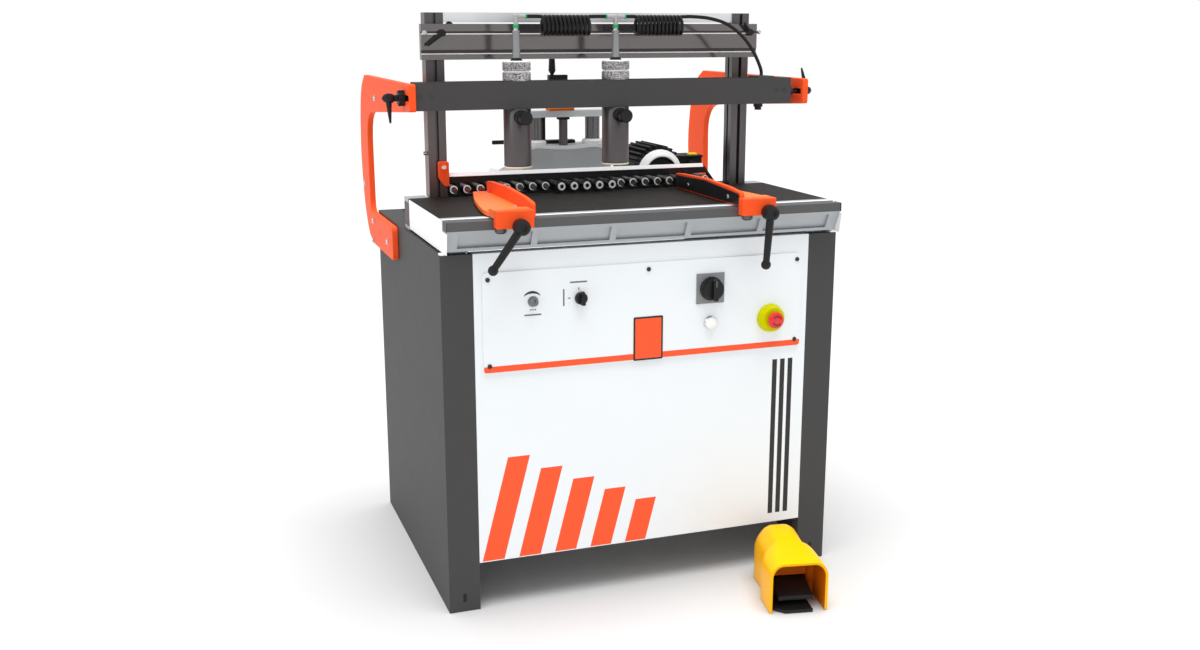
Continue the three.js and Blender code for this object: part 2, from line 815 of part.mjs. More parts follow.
// Lifting screw with its crank arm and grip
function liftCrank() {
  const shaftTop = columnTop + crossPlate + crankShaftLength;
  const screwTop = columnTop - gap;
  const gripFoot = shaftTop + crankArmHeight;
  const arm = block(screwX - crankArmLength + crankArmWidth / 2, screwX + crankArmWidth / 2,
    columnY - crankArmWidth / 2, columnY + crankArmWidth / 2, shaftTop, shaftTop + crankArmHeight);
  return joined([
    rod("z", [screwX, columnY], screwRadius, screwTop - screwLength, screwTop, coarse),
    rod("z", [screwX, columnY], crankShaftRadius, screwTop - gap, shaftTop + crankArmHeight / 2, coarse),
    arm,
    turned("z", [screwX - crankGripOffset, columnY], [
      ...crankNeckShares.map(([out, up]) => [crankGripRadius * out, shaftTop + crankArmHeight * up]),
      ...crankTopShares.map(([out, up]) => [crankGripRadius * out, gripFoot + crankGripHeight * up]),
    ], coarse),
  ]);
}

// Gear case behind the spindles with the saddle that rides on the columns
function gearHousing() {
  const left = rowCentre - saddleLeft;
  const right = rowCentre + saddleRight;
  const saddleFront = caseBack - overrun;
  const columnXs = [-1, 1].map((side) => rowCentre + side * columnOffset);
  const saddle = joined([
    block(left, right, saddleFront, saddleBack, caseBottom, saddleTop),
    ...columnXs.map((x) => rod("z", [x, columnY], columnRadius + gap + bossWall, saddleTop - overrun,
      saddleTop + bossHeight, medium)),
    block(left - shoulderWidth, left + overrun, saddleFront, saddleBack - overrun, caseBottom,
      caseBottom + shoulderHeight),
  ]);
  const cuts = columnXs.map((x) => rod("z", [x, columnY], columnRadius + gap, caseBottom - overrun,
    saddleTop + bossHeight + overrun));
  cuts.push(rod("z", [screwX, columnY], screwRadius + gap, saddleTop - screwBoreDepth, saddleTop + overrun));
  const frontCase = block(caseLeft, caseRight, caseFront, caseBack, caseBottom, caseBottom + caseHeight);
  return cuts.reduce((whole, cut) => whole.subtract(cut), frontCase.add(saddle));
}

// Finned motor with a dished front ring, a rear cowl and a terminal box
function motor() {
  const bodyFront = motorFront + motorRingDepth;
  const bodyBack = bodyFront + motorBodyLength;
  const centre = [motorX, motorZ];
  const [dishFloor, dishRim, coneRim] = motorDishShares.map((share) => share * motorRingRadius);
  const ring = turned("y", centre, [
    [0, motorFront + motorDishDepth],
    [dishFloor, motorFront + motorDishDepth],
    [dishRim, motorFront],
    [coneRim, motorFront],
    [motorRingRadius, motorFront + motorRimDepth],
    [motorRingRadius, bodyFront + overrun],
    [0, bodyFront + overrun],
  ], fine);
  const rim = [];
  for (let fin = 0; fin < motorFinCount; fin += 1) {
    motorFinShares.forEach(([share, height]) => {
      const radius = motorBodyRadius + height * (motorFinRadius - motorBodyRadius);
      const turn = ((fin + share) / motorFinCount) * 2 * Math.PI;
      rim.push([motorX + radius * Math.cos(turn), motorZ + radius * Math.sin(turn)]);
    });
  }
  const body = prism("y", rim, bodyFront, bodyBack);
  const cowl = turned("y", centre, [
    [0, bodyBack - overrun],
    [motorCowlRadius, bodyBack - overrun],
    ...motorCowlShares.map(([out, along]) => [out * motorCowlRadius, bodyBack + along * motorCowlLength]),
    [0, bodyBack + motorCowlLength],
  ], medium);
  const boxLeft = motorX + motorFinRadius - terminalInset;
  const boxFront = bodyFront + terminalGapFront;
  const box = block(boxLeft, boxLeft + terminalReach, boxFront, boxFront + terminalWidth, motorZ,
    motorZ + terminalHeight);
  return joined([ring, body, cowl, box]);
}

function spindle(index) {
  const x = rowCentre + (index - (spindleCount - 1) / 2) * spindlePitch;
  const isLong = Math.abs(index - (spindleCount - 1) / 2) < longSpindles / 2;
  const front = uprightFront - spindleProud - (isLong ? longSpindleExtra : 0);
  const back = caseFront - gap;
  const neck = front + chuckLength + (isLong ? longSpindleExtra : 0);
  const bore = isLong
    ? [[0, front + chuckBoreDepth], [chuckBore, front + chuckBoreDepth], [chuckBore, front]]
    : [[0, front]];
  return turned("y", [x, spindleZ], [
    ...bore,
    [chuckRadius - chuckChamfer, front],
    [chuckRadius, front + chuckChamfer],
    [chuckRadius, neck],
    [shaftRadius, neck],
    [shaftRadius, back],
    [0, back],
  ], coarse);
}

// C-shaped presser arm with its stud slot and screw heads
function presserArm(side) {
  const corner = (shape, x, y, r, fromX, fromY, toX, toY) => {
    shape.lineTo(x + fromX * r, y + fromY * r);
    shape.quadraticCurveTo(x, y, x + toX * r, y + toY * r);
  };
  const heelTop = cabinetHeight - armHeelTopClear;
  const rearAt = (over) => armBack - (1 - over) * armRearSpan;
  const outline = new THREE.Shape();
  outline.moveTo(armFront, armNoseFoot);
  corner(outline, armThroatBack, armThroatTop, armCorner, -1, 0.08, 0.2, -0.98);
  corner(outline, armThroatBack, heelTop, armCorner / 2, 0, 1, -1, 0);
  corner(outline, armHeelFront, heelTop, armCorner / 4, 1, 0, 0, -1);
  corner(outline, armHeelFront, armFoot, armCorner / 4, 0, 1, 1, 0);
  const rear = armRearShares.map(([over, up]) => new THREE.Vector2(
    rearAt(over), armFoot + up * (armTop - armFoot)));
  outline.lineTo(rear[0].x, rear[0].y);
  outline.splineThru(rear.slice(1));
  outline.lineTo(armFront, armTop);
  outline.closePath();
  const slotEnd = armSlotHeight / 2;
  const slot = new THREE.Shape();
  slot.absarc(armSlotFront + slotEnd, armSlotLevel, slotEnd, Math.PI / 2, (3 * Math.PI) / 2);
  slot.absarc(armSlotFront + armSlotLength - slotEnd, armSlotLevel, slotEnd, -Math.PI / 2, Math.PI / 2);
  const range = sideRange(side, armInner, armOuter);
  const plate = prism("x", outline, ...range)
    .subtract(prism("x", slot, range[0] - overrun, range[1] + overrun));
  const screws = armScrewShares.map(([over, up]) => rod("x",
    [rearAt(over), armFoot + up * (armTop - armFoot)],
    armScrewRadius, ...sideRange(side, armInner + armThickness / 2, armOuter + armScrewHead), coarse));
  return plate.add(joined(screws));
}

// Beam of two plates with end blocks, a spacer and a hose block
function presserBeam() {
  const walls = [beamFront, beamBack - beamWall].map((y) => block(-beamLeft, beamRight, y, y + beamWall,
    beamFoot, beamTop));
  const ends = [
    block(-beamLeft, beamEnd - beamLeft, beamFront, beamBack, beamFoot, beamTop),
    block(beamRight - beamEnd, beamRight, beamFront, beamBack, beamFoot, beamTop),
    block(hoseBlockX - hoseBlockWidth / 2, hoseBlockX + hoseBlockWidth / 2, beamFront, beamBack, beamFoot,
      beamTop + hoseBlockRise),
    rod("x", [studY, armSlotLevel], spacerRadius, beamRight - overrun, armInner - 2 * gap),
  ];
  const holes = [-1, 1].map((side) => rod("x", [studY, armSlotLevel], studRadius + gap,
    ...sideRange(side, armInner - studSink - gap, armInner + overrun), coarse));
  return joined([...walls, ...ends]).subtract(joined(holes));
}

// Locking lever: stud, star nut, hub and a bar with a ball end
function armLever(side) {
  const nutStart = armOuter + gap;
  const nutEnd = nutStart + starWidth;
  const hubEnd = nutEnd + leverHubLength;
  const rim = [];
  for (let arm = 0; arm < starArmCount; arm += 1) {
    starArmShares.forEach(([share, height]) => {
      const radius = starRadius + (height - 1) * starGroove;
      const turn = ((arm + share) / starArmCount) * 2 * Math.PI;
      rim.push([studY + radius * Math.cos(turn), armSlotLevel + radius * Math.sin(turn)]);
    });
  }
  const barX = side * (hubEnd - leverHubRadius);
  const turn = side < 0 ? armLeverSplay : 180 - armLeverSplay;
  const bar = handle(armLeverLength, armLeverRadius, armLeverBall, turn)
    .translate([barX, studY, armSlotLevel]);
  return joined([
    rod("x", [studY, armSlotLevel], studRadius, ...sideRange(side, armInner - studSink, nutEnd), coarse),
    prism("x", rim, ...sideRange(side, nutStart, nutEnd)),
    rod("x", [studY, armSlotLevel], leverHubRadius, ...sideRange(side, nutEnd - overrun, hubEnd), coarse),
    bar,
  ]);
}

// Air cylinder hung through the beam by its nuts, with a riser and its hose ports
function clampCylinder(x, portSides) {
  const axis = [x, clampY];
  const nutFoot = beamTop + gap;
  const grooves = clampNutGrooveShares.map((share) => nutFoot + share * clampNutHeight);
  const body = turned("z", axis, [
    [0, clampFoot],
    [clampRadius, clampFoot],
    [clampRadius, clampTop],
    [clampNeckRadius, clampTop],
    [clampNeckRadius, nutFoot],
    [clampNutRadius, nutFoot],
    [clampNutRadius, grooves[0]],
    [clampNutRadius - clampNutGroove, grooves[0]],
    [clampNutRadius - clampNutGroove, grooves[1]],
    [clampNutRadius, grooves[1]],
    [clampNutRadius, nutTop],
    [clampCollarRadius, nutTop],
    [clampCollarRadius, nutTop + clampCollarHeight],
    [riserRadius, nutTop + clampCollarHeight],
    [riserRadius, riserTop + overrun],
    [0, riserTop + overrun],
  ], fine);
  const neck = rod("z", axis, neckRadius, riserTop, portZ, coarse);
  const ports = portSides.map((side) => rod("x", [clampY, portZ], elbowRadius,
    ...[x - side * elbowRadius, x + side * portReach].sort((a, b) => a - b), coarse));
  const knob = rod("y", [x, clampFoot + clampKnobRise], clampKnobRadius,
    clampY - clampRadius - clampKnobReach, clampY - clampRadius / 2, coarse);
  const boreTop = clampFoot + pistonStroke + pistonGuide + gap;
  const bore = rod("z", axis, pistonRadius + gap, clampFoot - overrun, boreTop);
  return joined([body, neck, ...ports, knob]).subtract(bore);
}

function clampPiston(x) {
  return turned("z", [x, clampY], [
    [0, clampFoot - gap - padThickness],
    [padRadius, clampFoot - gap - padThickness],
    [padRadius, clampFoot - gap],
    [pistonRadius, clampFoot - gap],
    [pistonRadius, clampFoot + pistonStroke + pistonGuide],
    [0, clampFoot + pistonStroke + pistonGuide],
  ]);
}

// Points of a coil along X that starts and ends at its top, where its straight leads meet it
function coilPoints(start) {
  const points = [new THREE.Vector3(start - coilLead, clampY - coilLeadBow, portZ)];
  for (let i = 1; i < coilTurns * curlSteps; i += 1) {
    const turn = (i / curlSteps) * 2 * Math.PI;
    points.push(new THREE.Vector3(start + (i / curlSteps) * coilPitch, clampY - coilRadius * Math.sin(turn),
      coilZ + coilRadius * Math.cos(turn)));
  }
  points.push(new THREE.Vector3(start + coilTurns * coilPitch + coilLead, clampY + coilLeadBow, portZ));
  return points;
}

// The least gap that a tube leaves to itself, measured between points more than half a turn apart
function printSelfGap(name, points) {
  let least = Infinity;
  const dense = new THREE.CatmullRomCurve3(points).getPoints(points.length * 4);
  dense.forEach((p, i) => {
    for (let j = i + 2 * curlSteps; j < dense.length; j += 1) {
      least = Math.min(least, p.distanceTo(dense[j]));
    }
  });
  console.log(name + " least self-gap " + (least - hoseDiameter).toFixed(2) + " mm");
}

function linkHose() {
  const start = leftClampX + portReach + gap;
  const end = rightClampX - portReach - gap;
  const coil = coilPoints(leftClampX + portReach + linkLead);
  const points = [
    new THREE.Vector3(start, clampY, portZ),
    new THREE.Vector3(start + hoseDiameter, clampY, portZ),
    ...coil,
    new THREE.Vector3(end - hoseDiameter, clampY, portZ),
    new THREE.Vector3(end, clampY, portZ),
  ];
  printSelfGap("link_hose", points);
  return tubeThrough(points, hoseDiameter / 2, hoseSides);
}

function supplyHose() {
  const start = rightClampX + portReach + gap;
  const coil = coilPoints(rightClampX + portReach + supplyLead);
  const landing = beamTop + hoseBlockRise + gap;
  const coilEnd = coil[coil.length - 1];
  const route = supplyRouteShares.map(([across, bow, down]) => new THREE.Vector3(
    coilEnd.x + across * (hoseBlockX - coilEnd.x), clampY - bow * supplyRouteBow,
    coilEnd.z + down * (landing - coilEnd.z)));
  const points = [
    new THREE.Vector3(start, clampY, portZ),
    new THREE.Vector3(start + hoseDiameter, clampY, portZ),
    ...coil,
    ...route,
    new THREE.Vector3(hoseBlockX, clampY, landing),
  ];
  printSelfGap("supply_hose", points);
  return tubeThrough(points, hoseDiameter / 2, hoseSides);
}

// Side fence: upright wall, outward flange, and the front block that hooks over the rail
function sideFence(x, outward, blockShift, bossShift) {
  const range = (a, b) => [Math.min(x + a, x + b), Math.max(x + a, x + b)];
  const wallTop = guideFoot + guideWallHeight;
  const wall = prism("x", [
    [-guideWallFront, guideFoot],
    [guideWallBack, guideFoot],
    [guideWallBack, wallTop],
    ...guideArchShares.map(([along, up]) => [
      along * (guideWallBack - guideWallFront),
      wallTop + up * guideArchRise,
    ]),
    [-guideWallFront, wallTop],
  ], ...range(0, outward * guideWallThickness));
  const length = guideWallBack + guideWallFront;
  const flangeOutline = [
    [x + (outward * guideWallThickness) / 2, -guideWallFront],
    [x + (outward * guideWallThickness) / 2, guideWallBack],
    ...flangeShares.map(([across, along]) => [
      x + outward * across * flangeReach,
      along * length - guideWallFront,
    ]),
  ];
  const flange = prism("z", outward < 0 ? flangeOutline : flangeOutline.reverse(), guideFoot,
    guideFoot + flangeLift + flangeThickness);
  const relief = block(...range(outward * (guideWallThickness + overrun), outward * (flangeReach + overrun)),
    -guideWallFront - overrun, guideWallBack + overrun, guideFoot - overrun, guideFoot + flangeLift);
  const left = x + blockShift;
  const frontBlock = block(left, left + blockWidth, blockFront, blockBack, blockBottom,
    blockBottom + blockHeight);
  const neck = block(Math.max(left, Math.min(...range(0, outward * flangeReach))),
    Math.min(left + blockWidth, Math.max(...range(0, outward * flangeReach))),
    blockBack - overrun, -guideWallFront + overrun, guideFoot + flangeLift, blockBottom + blockHeight);
  const boss = rod("z", [x + bossShift, (blockFront + blockBack) / 2], Math.min(bossRadius, blockDepth / 2),
    blockBottom - bossDrop, blockBottom + overrun, coarse);
  return joined([wall, flange.subtract(relief), frontBlock, neck, boss]);
}

function fenceLever(x, rise, length, turn) {
  const back = blockFront - gap;
  const z = blockBottom + rise;
  const bar = handle(length, fenceHandleRadius, fenceBall, turn)
    .translate([x, back - fenceHubDepth / 2, z]);
  return joined([
    turned("y", [x, z], [
      ...fenceHubShares.map(([out, along]) => [out * fenceHubRadius, back - along * fenceHubDepth]),
      [fenceHubRadius, back],
      [0, back],
    ]),
    bar,
  ]);
}

// Control plate with the switch plate, stop collar, lamp bezel and screws
function controlPanel() {
  const plate = block(-panelHalf, panelHalf, panelFront, panelBack, panelFoot, panelTop);
  const stripe = block(-panelHalf, panelHalf, panelFront - stripeProud, panelBack, panelFoot + stripeRise,
    panelFoot + stripeRise + stripeHeight);
  const screws = [];
  for (const x of [panelScrewInset - panelHalf, 0, panelHalf - panelScrewInset]) {
    screws.push(rod("y", [x, panelTop - panelScrewInset], panelScrewRadius,
      panelFront - panelScrewHead, panelBack, tiny));
  }
  for (const x of [panelScrewInset - panelHalf, panelHalf - panelScrewInset]) {
    screws.push(rod("y", [x, panelFoot + panelScrewInset + stripeHeight / 2], panelScrewRadius,
      panelFront - panelScrewHead, panelBack, tiny));
  }
  const bezels = [speedX, selectorX].map((x) => rod("y", [x, switchZ], smallBezelRadius,
    panelFront - smallBezelDepth, panelBack, medium));
  const switchBase = block(switchPlateX - switchPlate / 2, switchPlateX + switchPlate / 2,
    panelFront - switchPlateDepth, panelBack, switchZ - switchPlate / 2, switchZ + switchPlate / 2);
  const lamp = rod("y", [lampX, lampZ], lampRadius, panelFront - lampDepth, panelBack, medium);
  const collar = rod("y", [stopX, stopZ], stopCollarRadius, panelFront - stopCollarDepth, panelBack, fine);
  const bore = rod("y", [stopX, stopZ], stopStemRadius + gap, panelFront - stopCollarDepth - overrun,
    panelFront, medium);
  return joined([plate, stripe, ...screws, ...bezels, switchBase, lamp, collar]).subtract(bore);
}

function mainSwitchKnob() {
  const back = panelFront - switchPlateDepth - gap;
  const face = back - mainKnobDepth;
  return rod("y", [switchPlateX, switchZ], mainKnobRadius, face, back)
    .add(block(switchPlateX - mainGripWidth / 2, switchPlateX + mainGripWidth / 2, face - mainGripDepth,
      face + gap, switchZ - mainGripLength / 2, switchZ + mainGripLength / 2));
}

function smallKnob(x, hasBar) {
  const back = panelFront - smallBezelDepth - gap;
  const face = back - smallKnobDepth;
  const knob = turned("y", [x, switchZ], [
    [0, face],
    [smallKnobRadius - smallKnobTip, face],
    [smallKnobRadius, back],
    [0, back],
  ], coarse);
  const bar = block(x - smallKnobTip, x + smallKnobTip, face - smallKnobTip * 2, face + smallKnobTip,
    switchZ - smallKnobRadius + smallKnobTip, switchZ + smallKnobRadius - smallKnobTip);
  return hasBar ? knob.add(bar) : knob;
}

function stopButton() {
  const headBack = panelFront - stopCollarDepth - stopTravel - gap;
  const headFront = headBack - stopHeadDepth;
  return turned("y", [stopX, stopZ], [
    [0, headFront],
    [stopHeadRadius * 0.75, headFront],
    [stopHeadRadius, headFront + stopHeadDepth / 2],
    [stopHeadRadius, headBack],
    [stopStemRadius, headBack],
    [stopStemRadius, panelFront - stopTravel - gap],
    [0, panelFront - stopTravel - gap],
  ]);
}

// Pedal guard: a wide mouth at the front and a narrower, taller rear, open inside
function pedalShield() {
  const crown = (y) => hoodFrontTop + ((hoodCrown - hoodFrontTop) * y) / hoodCrownBack;
  const section = (inset, front) => [
    [front, inset],
    [hoodDepth - inset, inset],
    [hoodDepth - inset, hoodTailTop - inset],
    [hoodCrownBack, hoodCrown - inset],
    [front, crown(front) - inset],
  ];
  const clipped = (outline, half, y0, y1) => prism("x", outline, -half, half)
    .intersect(block(-half - overrun, half + overrun, y0, y1, -overrun, hoodCrown + overrun));
  const frontShell = clipped(section(0, 0), hoodFrontHalf, 0, hoodFrontDepth);
  const rearShell = clipped(section(0, 0), hoodRearHalf, hoodFrontDepth - hoodWall, hoodDepth);
  const frontRoom = clipped(section(hoodWall, -overrun), hoodFrontHalf - hoodWall, -overrun,
    hoodFrontDepth - hoodWall);
  const rearRoom = clipped(section(hoodWall, -overrun), hoodRearHalf - hoodWall, -overrun, hoodDepth);
  return frontShell.add(rearShell).subtract(frontRoom.add(rearRoom));
}

function footPedal() {
  const plate = prism("x", [
    [pedalFront, pedalFrontFoot],
    [pedalPivotY, pedalPivotZ - pedalThickness],
    [pedalPivotY + pedalPinRadius, pedalPivotZ],
    [pedalPivotY, pedalPivotZ + pedalThickness],
    [hoodFrontDepth, pedalPivotZ + pedalThickness / 2],
    [pedalFront + pedalRise, pedalFrontFoot + pedalThickness * 2],
    [pedalFront, pedalFrontFoot + pedalThickness],
  ], -pedalHalf, pedalHalf);
  const pin = rod("x", [pedalPivotY, pedalPivotZ], pedalPinRadius, gap + hoodWall - hoodRearHalf,
    hoodRearHalf - hoodWall - gap, coarse);
  return plate.add(pin);
}

// The cabinet and table
addMesh("left_side_panel", sidePanel(-1), "cabinetPaint");
addMesh("right_side_panel", sidePanel(1), "cabinetPaint");
addMesh("front_panel", cover(0, 1, cabinetHeight), "panelPaint");
addMesh("rear_cover", cover(cabinetDepth, -1, cabinetHeight - rearOpening), "panelPaint");
addMesh("table_casting", tableCasting(), "casting");
addMesh("table_top", tableSlab(), "tableTop");
addMesh("front_rail", frontRail(), "anodised");

// The controls
addMesh("control_panel", controlPanel(), "panelPaint");
addMesh("main_switch_knob", mainSwitchKnob(), "blackPlastic");
addMesh("selector_knob", smallKnob(selectorX, true), "blackPlastic");
addMesh("speed_knob", smallKnob(speedX, false), "blackPlastic");
addMesh("stop_button", stopButton(), "red");

// The presser with its arms, levers, clamps and hoses
addMesh("left_arm", presserArm(-1), "orange");
addMesh("right_arm", presserArm(1), "orange");
addMesh("left_arm_lever", armLever(-1), "blackPlastic");
addMesh("right_arm_lever", armLever(1), "blackPlastic");
addMesh("presser_beam", presserBeam(), "cabinetPaint");
addMesh("left_clamp_cylinder", clampCylinder(leftClampX, [1]), "brightSteel");
addMesh("right_clamp_cylinder", clampCylinder(rightClampX, [-1, 1]), "brightSteel");
addMesh("left_piston", clampPiston(leftClampX), "padCream");
addMesh("right_piston", clampPiston(rightClampX), "padCream");
addMesh("link_hose", linkHose(), "hose");
addMesh("supply_hose", supplyHose(), "hose");

// The side fences
addMesh("left_side_fence", sideFence(leftFenceX, -1, leftBlockShift, leftBossShift), "orange");
addMesh("right_side_fence", sideFence(rightFenceX, 1, rightBlockShift, rightBossShift), "orange");
addMesh("left_fence_lever", fenceLever(leftFenceX + leftHubShift, leftHubRise, leftHandle, leftHandleTurn),
  "blackPlastic");
addMesh("right_fence_lever", fenceLever(rightFenceX + rightHubShift, rightHubRise, rightHandle,
  rightHandleTurn), "blackPlastic");

// The tilting head
addMesh("tilt_frame", tiltFrame(), "casting");
addMesh("fence_bar", fenceBar(), "anodised");
addMesh("left_upright", upright(-1), "anodised");
addMesh("right_upright", upright(1), "anodised");
addMesh("upright_brace", uprightBrace(), "aluminium");
addMesh("top_bar", topBar(), "anodised");
addMesh("feed_carriage", feedCarriage(), "brightSteel");
addMesh("lift_crank", liftCrank(), "blackPlastic");
addMesh("gear_housing", gearHousing(), "casting");
addMesh("motor", motor(), "motorPaint");
for (let i = 0; i < spindleCount; i += 1) {
  addMesh("spindle_" + String(i + 1).padStart(2, "0"), spindle(i), "anodised");
}

// The foot pedal stands turned on the floor
const pedalGroup = new THREE.Group();
pedalGroup.position.set(pedalX, pedalY, 0);
pedalGroup.rotation.z = THREE.MathUtils.degToRad(pedalTurn);
machine.add(pedalGroup);
addMesh("pedal_shield", pedalShield(), "hoodPaint", pedalGroup);
addMesh("pedal", footPedal(), "blackPlastic", pedalGroup);

// The origin is the bottom centre of the whole machine's box
machine.updateMatrixWorld(true);
const bounds = new THREE.Box3().setFromObject(machine, true);
const centre = bounds.getCenter(new THREE.Vector3());
const part = new THREE.Group();
machine.position.set(-centre.x, -centre.y, -bounds.min.z);
part.add(machine);
console.log("cabinet front centre lies at " + machine.position.toArray().map((v) => v.toFixed(3)).join(", "));

export default part;
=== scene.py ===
from math import cos, pi, radians, sin, sqrt, tan

import bmesh
import bpy
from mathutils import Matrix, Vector


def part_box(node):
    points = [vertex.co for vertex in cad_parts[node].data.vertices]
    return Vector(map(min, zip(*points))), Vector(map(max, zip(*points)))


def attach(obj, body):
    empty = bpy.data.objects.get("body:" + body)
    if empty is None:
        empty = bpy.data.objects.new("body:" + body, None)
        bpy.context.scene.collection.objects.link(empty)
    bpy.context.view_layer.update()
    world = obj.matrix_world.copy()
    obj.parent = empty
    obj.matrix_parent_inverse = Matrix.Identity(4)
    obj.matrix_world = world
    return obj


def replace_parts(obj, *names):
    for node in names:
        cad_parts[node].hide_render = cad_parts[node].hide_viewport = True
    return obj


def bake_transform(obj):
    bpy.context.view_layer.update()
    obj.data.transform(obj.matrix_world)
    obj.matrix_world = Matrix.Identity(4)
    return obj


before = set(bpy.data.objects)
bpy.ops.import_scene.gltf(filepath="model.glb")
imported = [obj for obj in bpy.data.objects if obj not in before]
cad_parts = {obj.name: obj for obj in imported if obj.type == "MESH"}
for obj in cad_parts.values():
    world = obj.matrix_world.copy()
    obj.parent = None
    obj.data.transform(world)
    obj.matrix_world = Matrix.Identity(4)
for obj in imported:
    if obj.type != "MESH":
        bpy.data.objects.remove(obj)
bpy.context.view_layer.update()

# Lengths below are millimetres from the middle of the cabinet's front edge on the floor
MM = 0.001
LEFT_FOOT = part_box("left_side_panel")[0]
RIGHT_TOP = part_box("right_side_panel")[1]
ORIGIN = Vector(((LEFT_FOOT[0] + RIGHT_TOP[0]) / 2, LEFT_FOOT[1], 0))

# Camera, fitted to the photograph
CAMERA_PLACE = (-1018, -2536, 1267)
CAMERA_PITCH = 13.348
CAMERA_YAW = 19.646
CAMERA_LENS = 37.94
SENSOR_WIDTH = 36
CAMERA_REACH = 50

# Sizes that several pieces share
SIDES = (("left", -1), ("right", 1))
CLAMP_Y = 219
CLAMPS = {"left": -231, "right": 3}
PORT_Z = 1285.5
PANEL_FRONT = -5
KNOB_Z = 693
TABLE_END = (455.8, 456.6)
COLUMN_Y = 500
COLUMNS = (-105, 45)
LIFT_SCREW = (-32, COLUMN_Y)


def row(point):
    """A point in cabinet millimetres, in the frame's metres."""
    return ORIGIN + Vector(point) * MM


def cabinet(point):
    """A point of the frame, in cabinet millimetres."""
    return (Vector(point) - ORIGIN) / MM


def turn_out(axis, a, b, c):
    """An outline's two values and its depth along the axis, as x, y, z."""
    return {"x": (c, a, b), "y": (a, c, b), "z": (a, b, c)}[axis]


def placed(name, data):
    """A new object in the scene."""
    item = bpy.data.objects.new(name, data)
    bpy.context.collection.objects.link(item)
    return item


def turns(count):
    """The angles of evenly spaced points of a circle."""
    return [2 * pi * i / count for i in range(count)]


def on_circle(centre, radius, turn):
    return centre[0] + radius * cos(turn), centre[1] + radius * sin(turn)


# Materials
BLACK = "black_plastic"
# Near-white paint on edges and faces in the strongest light: a painted highlight
WHITE_HIGHLIGHT = "bright_edge"
EVEN = (1, 1, 1)
WHITE = (1, 1, 1, 1)
CLOUD_RATIO = 40
SHARE = 0.5
GLOSS_SPREAD = 0.15
RELIEF = 0.0004
FLECK_GLOSS = 0.16
FLECK_BUMP = 0.35


def linear(value):
    value = value / 255
    return value / 12.92 if value <= 0.04045 else ((value + 0.055) / 1.055) ** 2.4


def paint(red, green, blue):
    return (linear(red), linear(green), linear(blue), 1)


def shade(color, share):
    return tuple(min(1, channel * share) for channel in color[:3]) + (1,)


class Nodes:
    """The node tree of a material or of the world."""

    def __init__(self, owner):
        owner.use_nodes = True
        self.tree = owner.node_tree

    def feed(self, node, inputs):
        """Gives each input of a node its value, or a link from another node."""
        for socket, value in inputs.items():
            if isinstance(value, bpy.types.NodeSocket):
                self.tree.links.new(value, node.inputs[socket])
            else:
                node.inputs[socket].default_value = value

    def surface(self, inputs):
        self.feed(self.tree.nodes["Principled BSDF"], inputs)

    def add(self, kind, output, inputs, **values):
        node = self.tree.nodes.new("ShaderNode" + kind)
        for key, value in values.items():
            setattr(node, key, value)
        self.feed(node, inputs)
        return node.outputs[output]

    def noise(self, scale, detail=3, stretch=EVEN):
        place = self.add("TexCoord", "Object", {})
        place = self.add("Mapping", "Vector", {"Vector": place, "Scale": stretch})
        return self.add("TexNoise", "Fac", {"Vector": place, "Scale": scale, "Detail": detail})

    def ramp(self, factor, start, end):
        """A colour between two (place, colour) stops."""
        node = self.tree.nodes.new("ShaderNodeValToRGB")
        for element, stop in zip(node.color_ramp.elements, (start, end)):
            element.position, element.color = stop
        self.feed(node, {"Fac": factor})
        return node.outputs["Color"]

    def bump(self, height, strength):
        return self.add("Bump", "Normal", {"Height": height, "Strength": strength, "Distance": RELIEF})


def finish(name, color, roughness, metallic, grain, spread, bump, gloss=0.5, stretch=EVEN, coat=0):
    """A surface with fine grain in its colour, gloss and height."""
    material = bpy.data.materials.new(name)
    nodes = Nodes(material)
    fine = nodes.noise(grain, stretch=stretch)
    cloud = nodes.noise(grain / CLOUD_RATIO)
    cloud = nodes.add("Math", 0, {0: cloud, 1: SHARE}, operation="MULTIPLY")
    mixed = nodes.add("Math", 0, {0: fine, 1: SHARE, 2: cloud}, operation="MULTIPLY_ADD")
    low, high = roughness * (1 - GLOSS_SPREAD), roughness * (1 + GLOSS_SPREAD)
    rough = nodes.add("MapRange", "Result", {"Value": mixed, "To Min": low, "To Max": high})
    tint = nodes.ramp(mixed, (0.3, shade(color, 1 - spread)), (0.7, shade(color, 1 + spread)))
    nodes.surface({"Base Color": tint, "Roughness": rough, "Metallic": metallic, "Coat Weight": coat,
                   "Specular IOR Level": gloss, "Normal": nodes.bump(fine, bump)})
    return material


def speckled(name, color, fleck, roughness, scale, start, end):
    """A dark hard coat with pale flecks and fine pits."""
    material = bpy.data.materials.new(name)
    nodes = Nodes(material)
    fine = nodes.noise(scale, detail=2)
    flecks = nodes.ramp(fine, (start, color), (end, fleck))
    cloud = nodes.ramp(nodes.noise(35, detail=4), (0.35, (0.7, 0.7, 0.7, 1)), (0.7, WHITE))
    tint = nodes.add("Mix", 2, {"Factor": 1, 6: flecks, 7: cloud}, data_type="RGBA",
                     blend_type="MULTIPLY")
    nodes.surface({"Base Color": tint, "Roughness": roughness, "Specular IOR Level": FLECK_GLOSS,
                   "Normal": nodes.bump(fine, FLECK_BUMP)})
    return material


